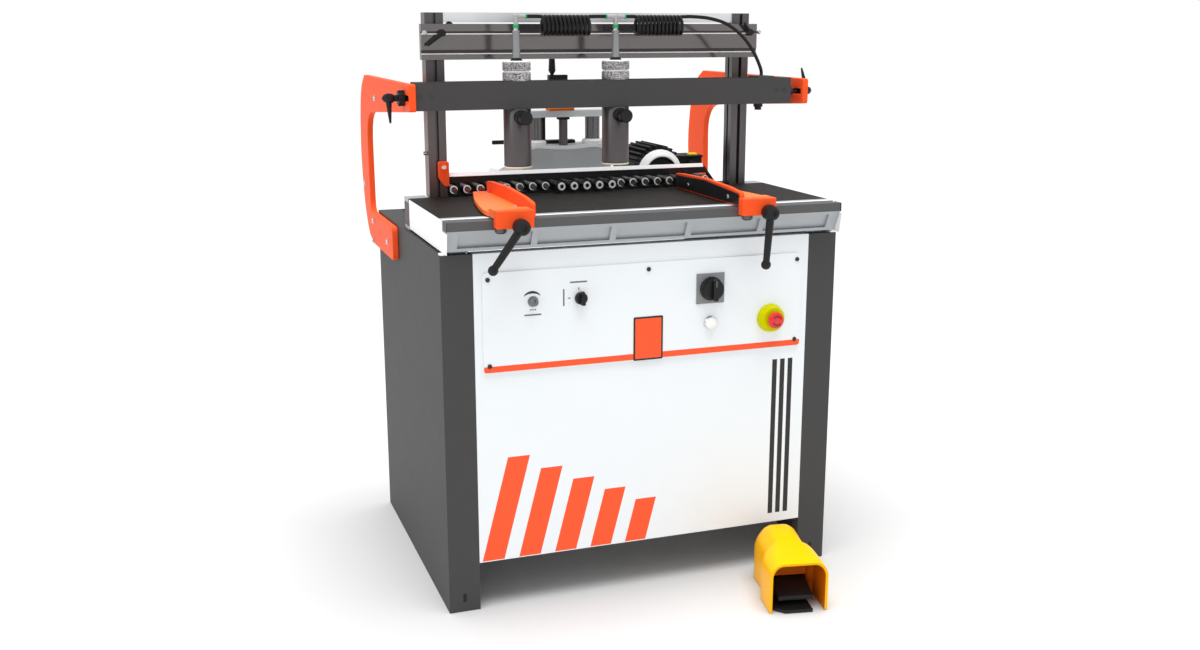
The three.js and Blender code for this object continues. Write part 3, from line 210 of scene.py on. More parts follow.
# Red, green, blue, roughness, metallic, grain, colour spread, bump, then gloss, stretch and coat
FINISHES = {
    "cabinet_paint": (69, 69, 69, 0.6, 0, 700, 0.05, 0.25, 0.25),
    "beam_paint": (68, 68, 68, 0.55, 0, 260, 0.06, 0.2, 0.25, (0.15, 1, 4)),
    "panel_paint": (240, 245, 248, 0.42, 0, 600, 0.01, 0.1, 0.3),
    "orange_paint": (255, 90, 42, 0.42, 0, 500, 0.03, 0.1, 0.06),
    # lighter copy of orange_paint for top faces: painted top light
    "orange_deck": (255, 122, 62, 0.42, 0, 500, 0.03, 0.1, 0.1),
    # dark orange: the carriage key's own colour, and painted shade inside the pedal
    "amber": (206, 104, 14, 0.42, 0, 500, 0.03, 0.1, 0.06),
    "casting": (172, 177, 181, 0.45, 0.15, 420, 0.05, 0.35),
    "gear_casting": (188, 192, 194, 0.5, 0, 500, 0.08, 0.4),
    "machined": (206, 212, 216, 0.35, 0.5, 220, 0.05, 0.1, 0.5, (0.2, 1, 1)),
    "rail": (86, 86, 86, 0.5, 0.2, 240, 0.06, 0.1, 0.5, (0.1, 1, 3)),
    "anodised": (98, 95, 96, 0.3, 0.7, 240, 0.08, 0.1, 0.5, (1, 1, 0.1)),
    "bar": (130, 125, 125, 0.12, 0.85, 240, 0.06, 0.05, 0.5, (0.1, 1, 1)),
    "black_bar": (26, 26, 27, 0.4, 0, 300, 0.1, 0.1, 0.3, (0.1, 1, 1)),
    # painted highlight: near-white for strongly lit edges and faces
    WHITE_HIGHLIGHT: (250, 251, 252, 0.4, 0, 260, 0.02, 0.05),
    "aluminium": (240, 243, 245, 0.3, 0.75, 260, 0.03, 0.1, 0.5, (0.1, 1, 1)),
    "nickel": (214, 214, 216, 0.2, 0.95, 400, 0.05, 0.1),
    "cylinder": (100, 96, 97, 0.34, 0.8, 300, 0.06, 0.1, 0.5, (1, 1, 0.08)),
    "column_steel": (108, 108, 110, 0.25, 0.8, 300, 0.06, 0.1, 0.5, (1, 1, 0.1)),
    "screw_steel": (104, 98, 100, 0.4, 0.6, 500, 0.1, 0.1),
    # painted shade for the top bar's grooves
    "groove": (62, 58, 58, 0.4, 0.3, 240, 0.1, 0.1, 0.5, (0.1, 1, 1)),
    "dark_steel": (70, 70, 72, 0.3, 0.8, 300, 0.1, 0.1),
    BLACK: (18, 18, 19, 0.45, 0, 900, 0.15, 0.2, 0.35),
    "rubber": (14, 14, 15, 0.65, 0, 700, 0.15, 0.3),
    "riser": (150, 152, 154, 0.3, 0.7, 300, 0.04, 0.1, 0.5, (1, 1, 0.08)),
    "fitting": (176, 174, 176, 0.35, 0.2, 400, 0.04, 0.05),
    "hose": (10, 10, 11, 0.35, 0, 200, 0.1, 0.03, 0.35),
    "red": (226, 22, 26, 0.3, 0, 300, 0.03, 0.02, 0.5, EVEN, 0.4),
    "collar_yellow": (206, 206, 0, 0.4, 0, 300, 0.03, 0.05, 0.05),
    "yellow": (255, 184, 0, 0.3, 0, 200, 0.02, 0.03, 0.1),
    "cream": (240, 232, 206, 0.5, 0, 500, 0.03, 0.15),
    "green": (0, 168, 92, 0.35, 0, 300, 0.04, 0.02),
    "lamp": (250, 250, 246, 0.2, 0, 200, 0.01, 0.01, 0.5, EVEN, 0.5),
    "motor": (26, 26, 27, 0.5, 0, 500, 0.12, 0.25, 0.25),
    "cap_yellow": (240, 230, 20, 0.35, 0, 400, 0.03, 0.05),
    "mark_black": (30, 27, 26, 0.45, 0, 500, 0.05, 0.03),
    "plate_grey": (132, 134, 136, 0.4, 0.2, 500, 0.04, 0.05),
    "mark_grey": (110, 112, 114, 0.45, 0, 500, 0.05, 0.03),
    "mark_orange": (255, 84, 26, 0.5, 0, 500, 0.02, 0.03),
}
MATERIALS = {name: finish(name, paint(*values[:3]), *values[3:]) for name, values in FINISHES.items()}
SPECKLES = {
    "table_finish": (paint(25, 23, 22), paint(84, 80, 75), 0.6, 900, 0.52, 0.72),
    "knurled": (paint(74, 72, 72), paint(230, 229, 230), 0.4, 420, 0.4, 0.62),
}
MATERIALS.update({name: speckled(name, *rest) for name, rest in SPECKLES.items()})


# Mesh building
BALL_STEPS = 14
END_STEPS = 5


def smooth(mesh, angle=32):
    mesh.polygons.foreach_set("use_smooth", [True] * len(mesh.polygons))
    mesh.set_sharp_from_angle(angle=radians(angle))


def bevel(piece, width, segments=3, angle=40):
    modifier = piece.modifiers.new("edge", "BEVEL")
    modifier.width = width * MM
    modifier.segments = segments
    modifier.limit_method = "ANGLE"
    modifier.angle_limit = radians(angle)
    modifier.harden_normals = True


def piece_from(name, vertices, faces, material, body, edge=0, segments=3, is_smooth=True):
    """A piece from points in cabinet millimetres, with its material, soft edges and body."""
    mesh = bpy.data.meshes.new(name)
    mesh.from_pydata([row(v) for v in vertices], [], faces)
    shape = bmesh.new()
    shape.from_mesh(mesh)
    bmesh.ops.remove_doubles(shape, verts=shape.verts, dist=MM / 100)
    bmesh.ops.recalc_face_normals(shape, faces=shape.faces)
    shape.to_mesh(mesh)
    shape.free()
    if is_smooth:
        smooth(mesh)
    piece = placed(name, mesh)
    mesh.materials.append(MATERIALS[material])
    if edge:
        bevel(piece, edge, segments)
    if body:
        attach(piece, body)
    return piece


def band(count, start, end, is_ring=True):
    """Faces between the rows of points that begin at start and at end."""
    following = [(i, (i + 1) % count) for i in range(count if is_ring else count - 1)]
    return [[start + i, start + j, end + j, end + i] for i, j in following]


def rounded(corners, steps=6):
    """An outline from (a, b, radius) corners, each turned into an arc of that radius."""
    outline = []
    for i, (a, b, radius) in enumerate(corners):
        if radius <= 0:
            outline.append((a, b))
            continue
        here = Vector((a, b))
        before = Vector(corners[i - 1][:2]) - here
        after = Vector(corners[(i + 1) % len(corners)][:2]) - here
        half = before.angle(after) / 2
        reach = min(radius / tan(half), before.length / 2, after.length / 2)
        start = here + before.normalized() * reach
        end = here + after.normalized() * reach
        for step in range(steps + 1):
            t = step / steps
            outline.append(tuple(start.lerp(here, t).lerp(here.lerp(end, t), t)))
    return outline


def round_box(low, high, radius):
    """The outline of a rectangle with four equal round corners."""
    return rounded([(*low, radius), (high[0], low[1], radius), (*high, radius), (low[0], high[1], radius)])


def through(points, steps=6):
    """A smooth line through a list of points."""
    line = []
    for i, here in enumerate(points[:-1]):
        before, after = points[max(i - 1, 0)], points[i + 1]
        beyond = points[min(i + 2, len(points) - 1)]
        square = 2 * before - 5 * here + 4 * after - beyond
        cube = 3 * here - before - 3 * after + beyond
        for step in range(steps):
            t = step / steps
            line.append(0.5 * (2 * here + (after - before) * t + square * t ** 2 + cube * t ** 3))
    return line + [points[-1]]


def prism(name, first, second, *rest, **options):
    """A closed solid between two rings of points; the rest goes to piece_from."""
    count = len(first)
    faces = [list(range(count)), list(range(count, 2 * count))] + band(count, 0, count)
    return piece_from(name, first + second, faces, *rest, **options)


def extruded(name, axis, outline, start, end, *rest, **options):
    first, second = ([turn_out(axis, a, b, at) for a, b in outline] for at in (start, end))
    return prism(name, first, second, *rest, **options)


def boxed(name, low, high, material, body, edge=0.8):
    return extruded(name, "z", round_box(low[:2], high[:2], 0), low[2], high[2], material, body, edge)


def lathed(name, axis, centre, profile, material, body, steps=48, closed=False):
    """A profile of (radius, distance along the axis) points turned about the axis."""
    vertices = [turn_out(axis, *on_circle(centre, radius, turn), at) for radius, at in profile
                for turn in turns(steps)]
    faces = []
    rows = len(profile)
    for i in range(rows if closed else rows - 1):
        faces += band(steps, i * steps, (i + 1) % rows * steps)
    return piece_from(name, vertices, faces, material, body)


def turned(name, axis, centre, profile, *rest):
    """A lathed solid with flat ends, whose profile is closed to the axis."""
    return lathed(name, axis, centre, [(0, profile[0][1]), *profile, (0, profile[-1][1])], *rest)


def rod(name, axis, centre, radius, start, end, material, body, edge=0.6, steps=40):
    """A cylinder with softened rims."""
    low, high = min(start, end), max(start, end)
    profile = [(radius - edge, low), (radius, low + edge), (radius, high - edge), (radius - edge, high)]
    return turned(name, axis, centre, profile, material, body, steps)


def ball(name, centre, radius, material, body):
    arc = [pi * i / BALL_STEPS for i in range(BALL_STEPS + 1)]
    profile = [(radius * sin(turn), centre[2] - radius * cos(turn)) for turn in arc]
    return lathed(name, "z", centre[:2], profile, material, body, 28)


def screw(name, axis, centre, face, outward, radius, material, body, has_socket=True):
    """A low round screw head on a face, with a socket in it."""
    height = radius * 0.6
    top = face + outward * height
    profile = [(radius, face), (radius, face + outward * height * 0.5), (radius * 0.78, top)]
    if has_socket:
        profile += [(radius * 0.42, top), (radius * 0.42, face + outward * height * 0.3)]
    return turned(name, axis, centre, profile, material, body, 24)


def swept(name, points, radii, material, body, sides=20):
    """A round bar through points with its own radius at each, closed at both ends."""
    spine = [Vector(p) for p in points]
    side = Vector((0.3, 0.9, 0.2))
    vertices = []
    for i, point in enumerate(spine):
        along = (spine[min(i + 1, len(spine) - 1)] - spine[max(i - 1, 0)]).normalized()
        side = (side - along * side.dot(along)).normalized()
        up = along.cross(side)
        vertices += [point + (side * cos(turn) + up * sin(turn)) * radii[i]
                     for turn in turns(sides)]
    faces = [list(range(sides)), list(range(len(vertices) - sides, len(vertices)))]
    for i in range(len(spine) - 1):
        faces += band(sides, i * sides, (i + 1) * sides)
    return piece_from(name, vertices, faces, material, body)


def tapered_bar(name, start, end, start_radius, end_radius, material, body):
    """A straight bar with round ends that tapers from one radius to the other."""
    start, end = Vector(start), Vector(end)
    along = (end - start).normalized()
    shares = [sin(step / END_STEPS * pi / 2) for step in range(END_STEPS + 1)]
    points = [start - along * start_radius * (1 - share) for share in shares]
    points += [end + along * end_radius * share for share in shares]
    radii = [max(0.05, start_radius * sqrt(1 - (1 - share) ** 2)) for share in shares]
    radii += [max(0.05, end_radius * sqrt(max(0, 1 - share ** 2))) for share in shares]
    return swept(name, points, radii, material, body)


def cut(piece, cutters):
    """Takes the cutters' shapes out of the piece and deletes them."""
    for cutter in cutters:
        modifier = piece.modifiers.new("cut", "BOOLEAN")
        modifier.object = cutter
        modifier.operation = "DIFFERENCE"
        modifier.solver = "EXACT"
    bpy.context.view_layer.update()
    evaluated = piece.evaluated_get(bpy.context.evaluated_depsgraph_get())
    mesh = bpy.data.meshes.new_from_object(evaluated)
    old = piece.data
    piece.modifiers.clear()
    piece.data = mesh
    bpy.data.meshes.remove(old)
    smooth(mesh)
    for cutter in cutters:
        bpy.data.objects.remove(cutter, do_unlink=True)


def dress(node, material, edge):
    """Gives a CAD node its material and soft edges."""
    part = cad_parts[node]
    part.data.materials.clear()
    part.data.materials.append(MATERIALS[material])
    smooth(part.data)
    bevel(part, edge, 2)


def add_camera():
    data = bpy.data.cameras.new("camera")
    data.sensor_width = SENSOR_WIDTH
    data.lens = CAMERA_LENS
    data.clip_end = CAMERA_REACH
    camera = placed("camera", data)
    camera.location = row(CAMERA_PLACE)
    camera.rotation_euler = (radians(90 - CAMERA_PITCH), 0, radians(-CAMERA_YAW))
    bpy.context.scene.camera = camera


add_camera()


# Air hoses
HOSE_DIAMETER = 8
COIL_RADIUS = 20
COIL_PITCH = 9.5
COIL_TURNS = 12
COIL_LEAD = 10
COIL_LEAD_BOW = 3
TURN_STEPS = 32
LINK_LEAD = 33
SUPPLY_LEAD = 23
PORT_END = 25
BEAM_HOSE = Vector((372, CLAMP_Y, 1150.3))
# Share of the way across, share of the bow and share of the fall
SUPPLY_SHARES = [(0.08, 0.75, 0), (0.278, 1, 0.024), (0.481, 1, 0.098), (0.644, 1, 0.23), (0.777, 1, 0.399),
                 (0.891, 0.75, 0.613), (0.97, 0.25, 0.818), (1, 0, 0.929)]
SUPPLY_BOW = 4


def port_point(x):
    return Vector((x, CLAMP_Y, PORT_Z))


def coil_points(start):
    """A coil along X that starts and ends at its top, where its leads meet it."""
    points = [Vector((start - COIL_LEAD, CLAMP_Y - COIL_LEAD_BOW, PORT_Z))]
    for i in range(1, COIL_TURNS * TURN_STEPS):
        turn = 2 * pi * i / TURN_STEPS
        points.append(Vector((start + i / TURN_STEPS * COIL_PITCH, CLAMP_Y - COIL_RADIUS * sin(turn),
                              PORT_Z - COIL_RADIUS + COIL_RADIUS * cos(turn))))
    end = start + COIL_TURNS * COIL_PITCH + COIL_LEAD
    return points + [Vector((end, CLAMP_Y + COIL_LEAD_BOW, PORT_Z))]


def hose(name, points):
    """A hose as a tube along its route."""
    piece = swept(name, points, [HOSE_DIAMETER / 2] * len(points), "hose", None, 16)
    return piece


def link_hose():
    start = CLAMPS["left"] + PORT_END
    end = CLAMPS["right"] - PORT_END
    coil = coil_points(start + LINK_LEAD)
    points = [port_point(start), port_point(start + HOSE_DIAMETER)] + coil
    points += [port_point(end - HOSE_DIAMETER), port_point(end)]
    piece = hose("link_hose_soft", points)
    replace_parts(piece, "link_hose")
    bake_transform(piece)


def supply_hose():
    start = CLAMPS["right"] + PORT_END
    coil = coil_points(start + SUPPLY_LEAD)
    fall = BEAM_HOSE - coil[-1]
    route = [Vector((coil[-1].x + across * fall.x, CLAMP_Y - bow * SUPPLY_BOW, PORT_Z + down * fall.z))
             for across, bow, down in SUPPLY_SHARES]
    points = [port_point(start), port_point(start + HOSE_DIAMETER)]
    points += coil[:-1] + through([coil[-1]] + route + [BEAM_HOSE])
    piece = hose("supply_hose_soft", points)
    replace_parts(piece, "supply_hose")
    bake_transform(piece)


link_hose()
supply_hose()


# Material and edge of the CAD nodes that are kept
DRESSED = [
    ("cabinet_paint", 1.2, "left_side_panel", "right_side_panel"),
    ("panel_paint", 0.8, "front_panel", "rear_cover"),
    ("casting", 1.6, "table_casting"),
    ("table_finish", 0.6, "table_top"),
    ("rail", 0.8, "front_rail"),
    ("beam_paint", 0.8, "presser_beam"),
    ("casting", 1.2, "tilt_frame"),
    ("black_bar", 0.6, "fence_bar"),
    ("anodised", 0.5, "left_upright", "right_upright"),
    ("aluminium", 0.8, "upright_brace"),
    ("bar", 0.6, "top_bar"),
    ("machined", 1, "feed_carriage"),
    (BLACK, 1, "lift_crank"),
]
for finish_name, finish_edge, *kept_nodes in DRESSED:
    for kept_node in kept_nodes:
        dress(kept_node, finish_name, finish_edge)


# Cabinet and table
POST_WIDTH = 70
SLOT_HALF = 3.9


def table_edges():
    """The table's front edge, end faces and corner feet in white, a painted highlight; a painted shadow
    behind each end; and the dark ends of the rail.
    """
    # White band on the table's front edge: painted highlight.
    boxed("table_band_highlight", (-455.7, 4.3, 868), (455.7, 13, 876.3), WHITE_HIGHLIGHT, "root", 0.5)
    back = min(cabinet(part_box("table_casting")[1]).y, 420) - 3
    end = [(-29, 807), (348, 807), (348, 875), (6, 875), (6, 852), (-38, 852)]
    for name, side in SIDES:
        inner, outer = sorted(side * x for x in TABLE_END)
        foot = sorted((side * 464, side * 450))
        # Black sheet behind each end face: painted shadow.
        boxed(name + "_end_painted_shadow", (inner, 351, 812), (outer, back, 866), "black_bar", "root", 0.2)
        # White end faces: painted light, as from a lamp on the left.
        extruded(name + "_end_face_highlight", "x", end, inner, outer, WHITE_HIGHLIGHT, "root", 0.2, 1)
        boxed(name + "_rail_end", (inner, -34, 855), (outer, -3, 875), "black_bar", "root", 0.2)
        # White corner feet: painted highlight.
        boxed(name + "_corner_foot", (foot[0], 1, 802), (foot[1], 16, 806.3), WHITE_HIGHLIGHT, "root", 0.8)


def post_slots():
    """Dark backs of the slots at the feet of the two front posts."""
    centres = (cabinet(LEFT_FOOT).x + POST_WIDTH / 2, cabinet(RIGHT_TOP).x - POST_WIDTH / 2)
    for (name, _), x in zip(SIDES, centres):
        low, high = (x - SLOT_HALF, 0.3, 22.2), (x + SLOT_HALF, 1.3, 41.8)
        boxed(name + "_post_slot", low, high, "rubber", "root", 0.1)


# Control panel
PANEL_HALF = 377
PANEL_FOOT = 543
PANEL_TOP = 761
STRIPE_HEIGHT = 14
PANEL_SCREWS = [(-365, 746), (-1, 746), (364, 746), (-364, 558), (364, 558)]
SPEED_CENTRE = (-266, KNOB_Z)
SELECTOR_CENTRE = (-159, KNOB_Z)
SWITCH_CENTRE = (148.5, KNOB_Z)
STOP_CENTRE = (299, 614)
LAMP_CENTRE = (149, 614)
ARC_CENTRE = (-268, 694)
ARC_RADIUS = 22
ARC_WIDTH = 5.5
ARC_START = 32
ARC_SWEEP = 116
ARC_STEPS = 24
PANEL_MARKS = {
    "speed_base": ((-286, 662), (-248, 665.5), "mark_grey"),
    "selector_top": ((-183, 727), (-144, 730.5), "mark_grey"),
    "selector_side": ((-199, 678), (-195.5, 715), "mark_grey"),
    "selector_tick": ((-188, 693.5), (-182, 695.5), "mark_black"),
    "selector_up_tick": ((-164, 711), (-162, 717), "mark_black"),
}

# Slanted bands and upright bars of the front
BANDS = 5
BAND_LEFT = -388
BAND_PITCH = 84
BAND_WIDTH = 50
BAND_FOOT = 112
BAND_TOP = 348
BAND_DROP = 34
BAND_SKEW = 62
SKEW_DROP = 9
BARS = 3
BAR_LEFT = 312
BAR_PITCH = 20
BAR_WIDTH = 12
BAR_FOOT = 132
BAR_TOP = 512


def panel_plate():
    """The control plate with its orange stripe and its screws."""
    outline = round_box((-PANEL_HALF, PANEL_FOOT), (PANEL_HALF, PANEL_TOP), 14)
    plate = extruded("panel_plate", "y", outline, -0.4, PANEL_FRONT, "panel_paint", "root", 0.6)
    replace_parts(plate, "control_panel")
    half, foot, top = PANEL_HALF - 0.5, PANEL_FOOT + 0.5, PANEL_FOOT + STRIPE_HEIGHT
    stripe = rounded([(-half, foot, 13), (half, foot, 13), (half, top, 0), (-half, top, 0)])
    face = PANEL_FRONT
    extruded("panel_stripe", "y", stripe, face + 0.5, face - 0.5, "mark_orange", "root", 0.1, 1)
    for i, centre in enumerate(PANEL_SCREWS):
        screw(f"panel_screw_{i}", "y", centre, face, -1, 5, "dark_steel", "root")


def speed_arc():
    """A flat printed arc over the speed knob, thickest in its middle."""
    outer, inner = [], []
    for i in range(ARC_STEPS + 1):
        turn = radians(ARC_START + ARC_SWEEP * i / ARC_STEPS)
        depth = ARC_WIDTH * (0.25 + 0.75 * sin(pi * i / ARC_STEPS))
        outer.append(on_circle(ARC_CENTRE, ARC_RADIUS, turn))
        inner.append(on_circle(ARC_CENTRE, ARC_RADIUS - depth, turn))
    printed("speed_arc", outer + inner[::-1], "mark_black")


def printed(name, outline, material, face=PANEL_FRONT):
    """A flat printed shape on a front face."""
    extruded(name, "y", outline, face + 0.3, face - 0.15, material, "root", is_smooth=False)


def printed_bar(name, low, high, material, skew=0, face=PANEL_FRONT):
    """A flat printed bar, slanted by the skew."""
    outline = [low, (high[0], low[1]), (high[0] + skew, high[1]), (low[0] + skew, high[1])]
    printed(name, outline, material, face)


def panel_marks():
    """Plain dial marks round the two small knobs."""
    speed_arc()
    for i in range(3):
        printed_bar(f"speed_dot_{i}", (-273 + i * 5, 673.5), (-270 + i * 5, 676.5), "mark_grey")
    for name, mark in PANEL_MARKS.items():
        printed_bar(name, *mark)


def bare_plate():
    """A bare plate in the middle of the stripe."""
    rim, inner = round_box((-36, 541), (34, 640), 3), round_box((-32, 545), (30, 636), 2)
    extruded("bare_plate_rim", "y", rim, PANEL_FRONT, PANEL_FRONT - 1, "mark_black", "root", 0.3)
    extruded("bare_plate", "y", inner, PANEL_FRONT - 0.9, PANEL_FRONT - 1.5, "mark_orange", "root", 0.2)


def front_design():
    """Plain bands and bars in place of the printed design."""
    for i in range(BANDS):
        left, top, skew = BAND_LEFT + i * BAND_PITCH, BAND_TOP - i * BAND_DROP, BAND_SKEW - i * SKEW_DROP
        printed_bar(f"front_band_{i}", (left, BAND_FOOT), (left + BAND_WIDTH, top), "mark_orange", skew, 0)
    for i in range(BARS):
        left = BAR_LEFT + i * BAR_PITCH
        printed_bar(f"front_bar_{i}", (left, BAR_FOOT), (left + BAR_WIDTH, BAR_TOP), "mark_black", 0, 0)


def main_switch():
    """Rotary switch on its square plate."""
    x, z = SWITCH_CENTRE
    boxed("switch_plate", (113.5, PANEL_FRONT - 3, 659), (181.5, PANEL_FRONT, 728), "plate_grey", "root", 1)
    back = PANEL_FRONT - 3.3
    profile = [(27, back), (27, back - 4), (24, back - 8), (24, back - 18), (21, back - 20)]
    turned("main_knob", "y", SWITCH_CENTRE, profile, BLACK, "main_switch")
    grip = extruded("main_grip", "y", round_box((x - 6, z - 24), (x + 6, z + 24), 5), back - 18, back - 30,
                    BLACK, "main_switch", 1.5)
    low, high = (x - 1, back - 30.4, z + 8), (x + 1, back - 29.6, z + 22)
    boxed("main_pointer", low, high, "mark_grey", "main_switch", 0.1)
    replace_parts(grip, "main_switch_knob")


def small_knobs():
    """Speed knob and selector."""
    face = PANEL_FRONT
    back = face - 2.3
    for name, centre in (("speed", SPEED_CENTRE), ("selector", SELECTOR_CENTRE)):
        turned(name + "_bezel", "y", centre, [(12, face), (11, face - 2)], "plate_grey", "root")
    x, z = SPEED_CENTRE
    dial = [(9, back), (8, back - 12), (6, back - 14)]
    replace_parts(turned("speed_dial", "y", SPEED_CENTRE, dial, "mark_grey", "speed"), "speed_knob")
    boxed("speed_line", (x - 0.8, back - 14.5, z), (x + 0.8, back - 13.5, z + 8), "mark_black", "speed", 0.1)
    x, z = SELECTOR_CENTRE
    dial = [(14, back), (13, back - 8), (11, back - 10)]
    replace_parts(turned("selector_dial", "y", SELECTOR_CENTRE, dial, BLACK, "selector"), "selector_knob")
    grip = rounded([(x - 5, z - 13, 3), (x + 5, z - 13, 3), (x + 3, z + 17, 2), (x - 3, z + 17, 2)])
    extruded("selector_grip", "y", grip, back - 9, back - 20, BLACK, "selector", 1)


def stop_button():
    """Yellow stop collar and red button with its two arrows."""
    face = PANEL_FRONT
    collar = [(9, face), (32.5, face), (32.5, face - 3), (29, face - 17), (26, face - 20), (9, face - 20)]
    lathed("stop_collar", "y", STOP_CENTRE, collar, "collar_yellow", "root", closed=True)
    head = face - 26.3
    profile = [(0, face - 6.5), (8, face - 6.5), (8, head), (18, head), (19, head - 3), (18, head - 8),
               (13, head - 11), (0, head - 11.5)]
    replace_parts(lathed("stop_head", "y", STOP_CENTRE, profile, "red", "stop"), "stop_button")
    for i in range(2):
        arc = [radians(20 + i * 180 + 10 * step) for step in range(13)]
        outline = [on_circle(STOP_CENTRE, radius, turn) for radius, way in ((11.5, arc), (9.5, arc[::-1]))
                   for turn in way]
        extruded(f"stop_arrow_{i}", "y", outline, head - 10, head - 11.9, "mark_black", "stop",
                 is_smooth=False)


def pilot_lamp():
    face = PANEL_FRONT
    bezel = [(15.5, face), (15.5, face - 3), (14, face - 5)]
    turned("lamp_bezel", "y", LAMP_CENTRE, bezel, "nickel", "root")
    lens = [(0, face - 4), (13.5, face - 4), (13, face - 9), (10, face - 12), (5, face - 13.5),
            (0, face - 14)]
    lathed("lamp_lens", "y", LAMP_CENTRE, lens, "lamp", "root")


table_edges()
post_slots()
panel_plate()
panel_marks()
bare_plate()
front_design()
main_switch()
small_knobs()
stop_button()
pilot_lamp()


# Presser arms and levers
ARM_INNER = 465.3
ARM_OUTER = 480
ARM_FOOT = 715
ARM_TOP = 1143
ARM_CORNERS = [(183, ARM_TOP, 7), (183, 1084.5, 7), (752, 1050, 85), (745, 796, 32), (450, 796, 14),
               (450, ARM_FOOT, 14)]
ARM_REAR = [(697, ARM_FOOT), (772, 732), (826, 795), (853, 880), (860, 959), (843, 1055), (813, 1112),
            (765, ARM_TOP)]
ARM_SCREWS = [(812, 861), (704, 777), (715, 724), (508, 753), (609, 1092)]
ARM_SLOT = ((193, 1105.5), (267, 1118.5))
ARM_WASHER = 1.2
STUD = (240, 1112)
STAR_LOBES = 7
LEVER_HUB = [(0, 0), (7, 0), (7, 8), (10, 12), (11, 22), (8, 30), (3, 34), (0, 35)]
BEAM_SCREWS = [(-455, 1116), (-430, 1116), (400, 1118), (420, 1118)]


def arm_outline():
    rear = [(p.x, p.y) for p in through([Vector((y, z, 0)) for y, z in ARM_REAR], 4)]
    corners = rounded([(765, ARM_TOP, 0)] + ARM_CORNERS + [(697, ARM_FOOT, 0)])
    return corners[1:-1] + rear


def arms():
    for name, side in SIDES:
        inner, outer = side * ARM_INNER, side * ARM_OUTER
        plate = extruded(name + "_arm_plate", "x", arm_outline(), inner, outer, "orange_paint", "root")
        slot = extruded("slot_cutter", "x", round_box(*ARM_SLOT, 6.4), inner - side * 5, outer + side * 5,
                        "orange_paint", None)
        cut(plate, [slot])
        bevel(plate, 2.6, 4)
        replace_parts(plate, name + "_arm")
        face = outer + side * ARM_WASHER
        for i, centre in enumerate(ARM_SCREWS):
            turned(f"{name}_arm_washer_{i}", "x", centre, [(8.5, outer), (8.5, face)], "nickel", "root", 28)
            screw(f"{name}_arm_screw_{i}", "x", centre, face, side, 6.5, "nickel", "root")


def arm_lever(name, side, nut_depth, lean, up):
    """Star nut against the arm, and a tapered lever on its hub."""
    body = name + "_arm_lever"
    start = side * (ARM_OUTER + 0.4)
    hub = start + side * nut_depth
    rim = [on_circle(STUD, 16 + 1.6 * cos(STAR_LOBES * turn), turn) for turn in turns(STAR_LOBES * 10)]
    nut = extruded(name + "_star_nut", "x", rim, start, hub, BLACK, body, 1.2)
    rod(name + "_stud", "x", STUD, 6, side * 451.5, hub, "dark_steel", body)
    rod(name + "_inner_nut", "x", STUD, 9.3, side * 452.5, side * 464.9, BLACK, body)
    profile = [(radius, hub + side * at) for radius, at in LEVER_HUB]
    lathed(name + "_lever_hub", "x", STUD, profile, BLACK, body)
    y, z = STUD
    x = hub + side * 20
    foot, tip = (x, y, z + up * 4), (x, y + lean, z + up * 51)
    tapered_bar(name + "_lever_bar", foot, tip, 7, 2.4, BLACK, body)
    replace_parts(nut, body)


def beam_fittings():
    """Screws on the beam's front and the gland that the hose comes out of."""
    for i, centre in enumerate(BEAM_SCREWS):
        profile = [(5, 190.3), (5, 189.7), (2.4, 189.7), (2.4, 190.1)]
        turned(f"beam_screw_{i}", "y", centre, profile, "dark_steel", "presser", 24)
    gland = [(11, 1086), (11, 1078), (8, 1076), (8, 1070)]
    turned("beam_gland", "z", (366, CLAMP_Y), gland, BLACK, "presser")


arms()
arm_lever("left", -1, 14, -12, -1)
arm_lever("right", 1, 4, 24, 1)
beam_fittings()


# Air clamps
NUT_RADIUS = 31.5
KNURL_STEPS = 108
KNURL_ROWS = 14
KNURL_DEPTH = 0.8
KNURL_EDGE = 1.4
CLAMP_KNOB_Z = 1068
LOWER_NUT = (1146.4, 1165)
UPPER_NUT = (1168.5, 1188)
CLAMP_BARREL = [(15.4, 1040), (15.4, 958), (29.5, 958), (31, 959.5), (31, 1084), (30, 1085.7),
                (22.5, 1085.7), (22.5, 1146.3), (0, 1146.3), (0, 1040)]
CLAMP_STACK = {
    # white rim on the upper nut: painted highlight
    "nut_face_highlight": (WHITE_HIGHLIGHT, [(29, 1187.5), (28, 1189.5), (14, 1190)]),
    "gland": (BLACK, [(14, 1188), (13.5, 1191), (10.5, 1195.5)]),
    "riser_neck": ("nickel", [(6.5, 1254), (5.2, 1257), (5.2, 1261)]),
    "riser_ring": ("green", [(6.2, 1260), (6.2, 1267.6)]),
    "elbow": ("fitting", [(5.3, 1267), (5.3, 1276), (6.2, 1281), (6.2, 1288), (4.4, 1290.3)]),
}
CLAMP_KNOB = [(0, 176), (8, 176), (8, 167), (13.5, 165), (15, 162), (15, 147), (13.5, 144), (0, 143)]
PORT = [(0, 2), (6, 4), (4.6, 10), (4.6, 21), (0, 21)]
PISTON_PAD = [(30, 953.5), (31.5, 954.5), (31.5, 956.8), (30.5, 957.7), (15, 957.7)]


def knurled_nut(name, centre, low, high, body):
    """A nut with a raised diamond pattern round its rim."""
    vertices, faces = [], []
    for i in range(KNURL_ROWS + 1):
        share = i / KNURL_ROWS
        edge = KNURL_EDGE * max(0, 1 - min(share, 1 - share) * KNURL_ROWS / 1.5)
        for step, turn in enumerate(turns(KNURL_STEPS)):
            pattern = ((step + i) % 3 == 0) + ((step - i) % 3 == 0)
            reach = NUT_RADIUS - edge - (KNURL_DEPTH if pattern else 0)
            vertices.append((*on_circle(centre, reach, turn), low + (high - low) * share))
    for i in range(KNURL_ROWS):
        faces += band(KNURL_STEPS, i * KNURL_STEPS, (i + 1) * KNURL_STEPS)
    last = KNURL_ROWS * KNURL_STEPS
    faces += [list(range(KNURL_STEPS)), list(range(last, last + KNURL_STEPS))]
    return piece_from(name, vertices, faces, "knurled", body, is_smooth=False)


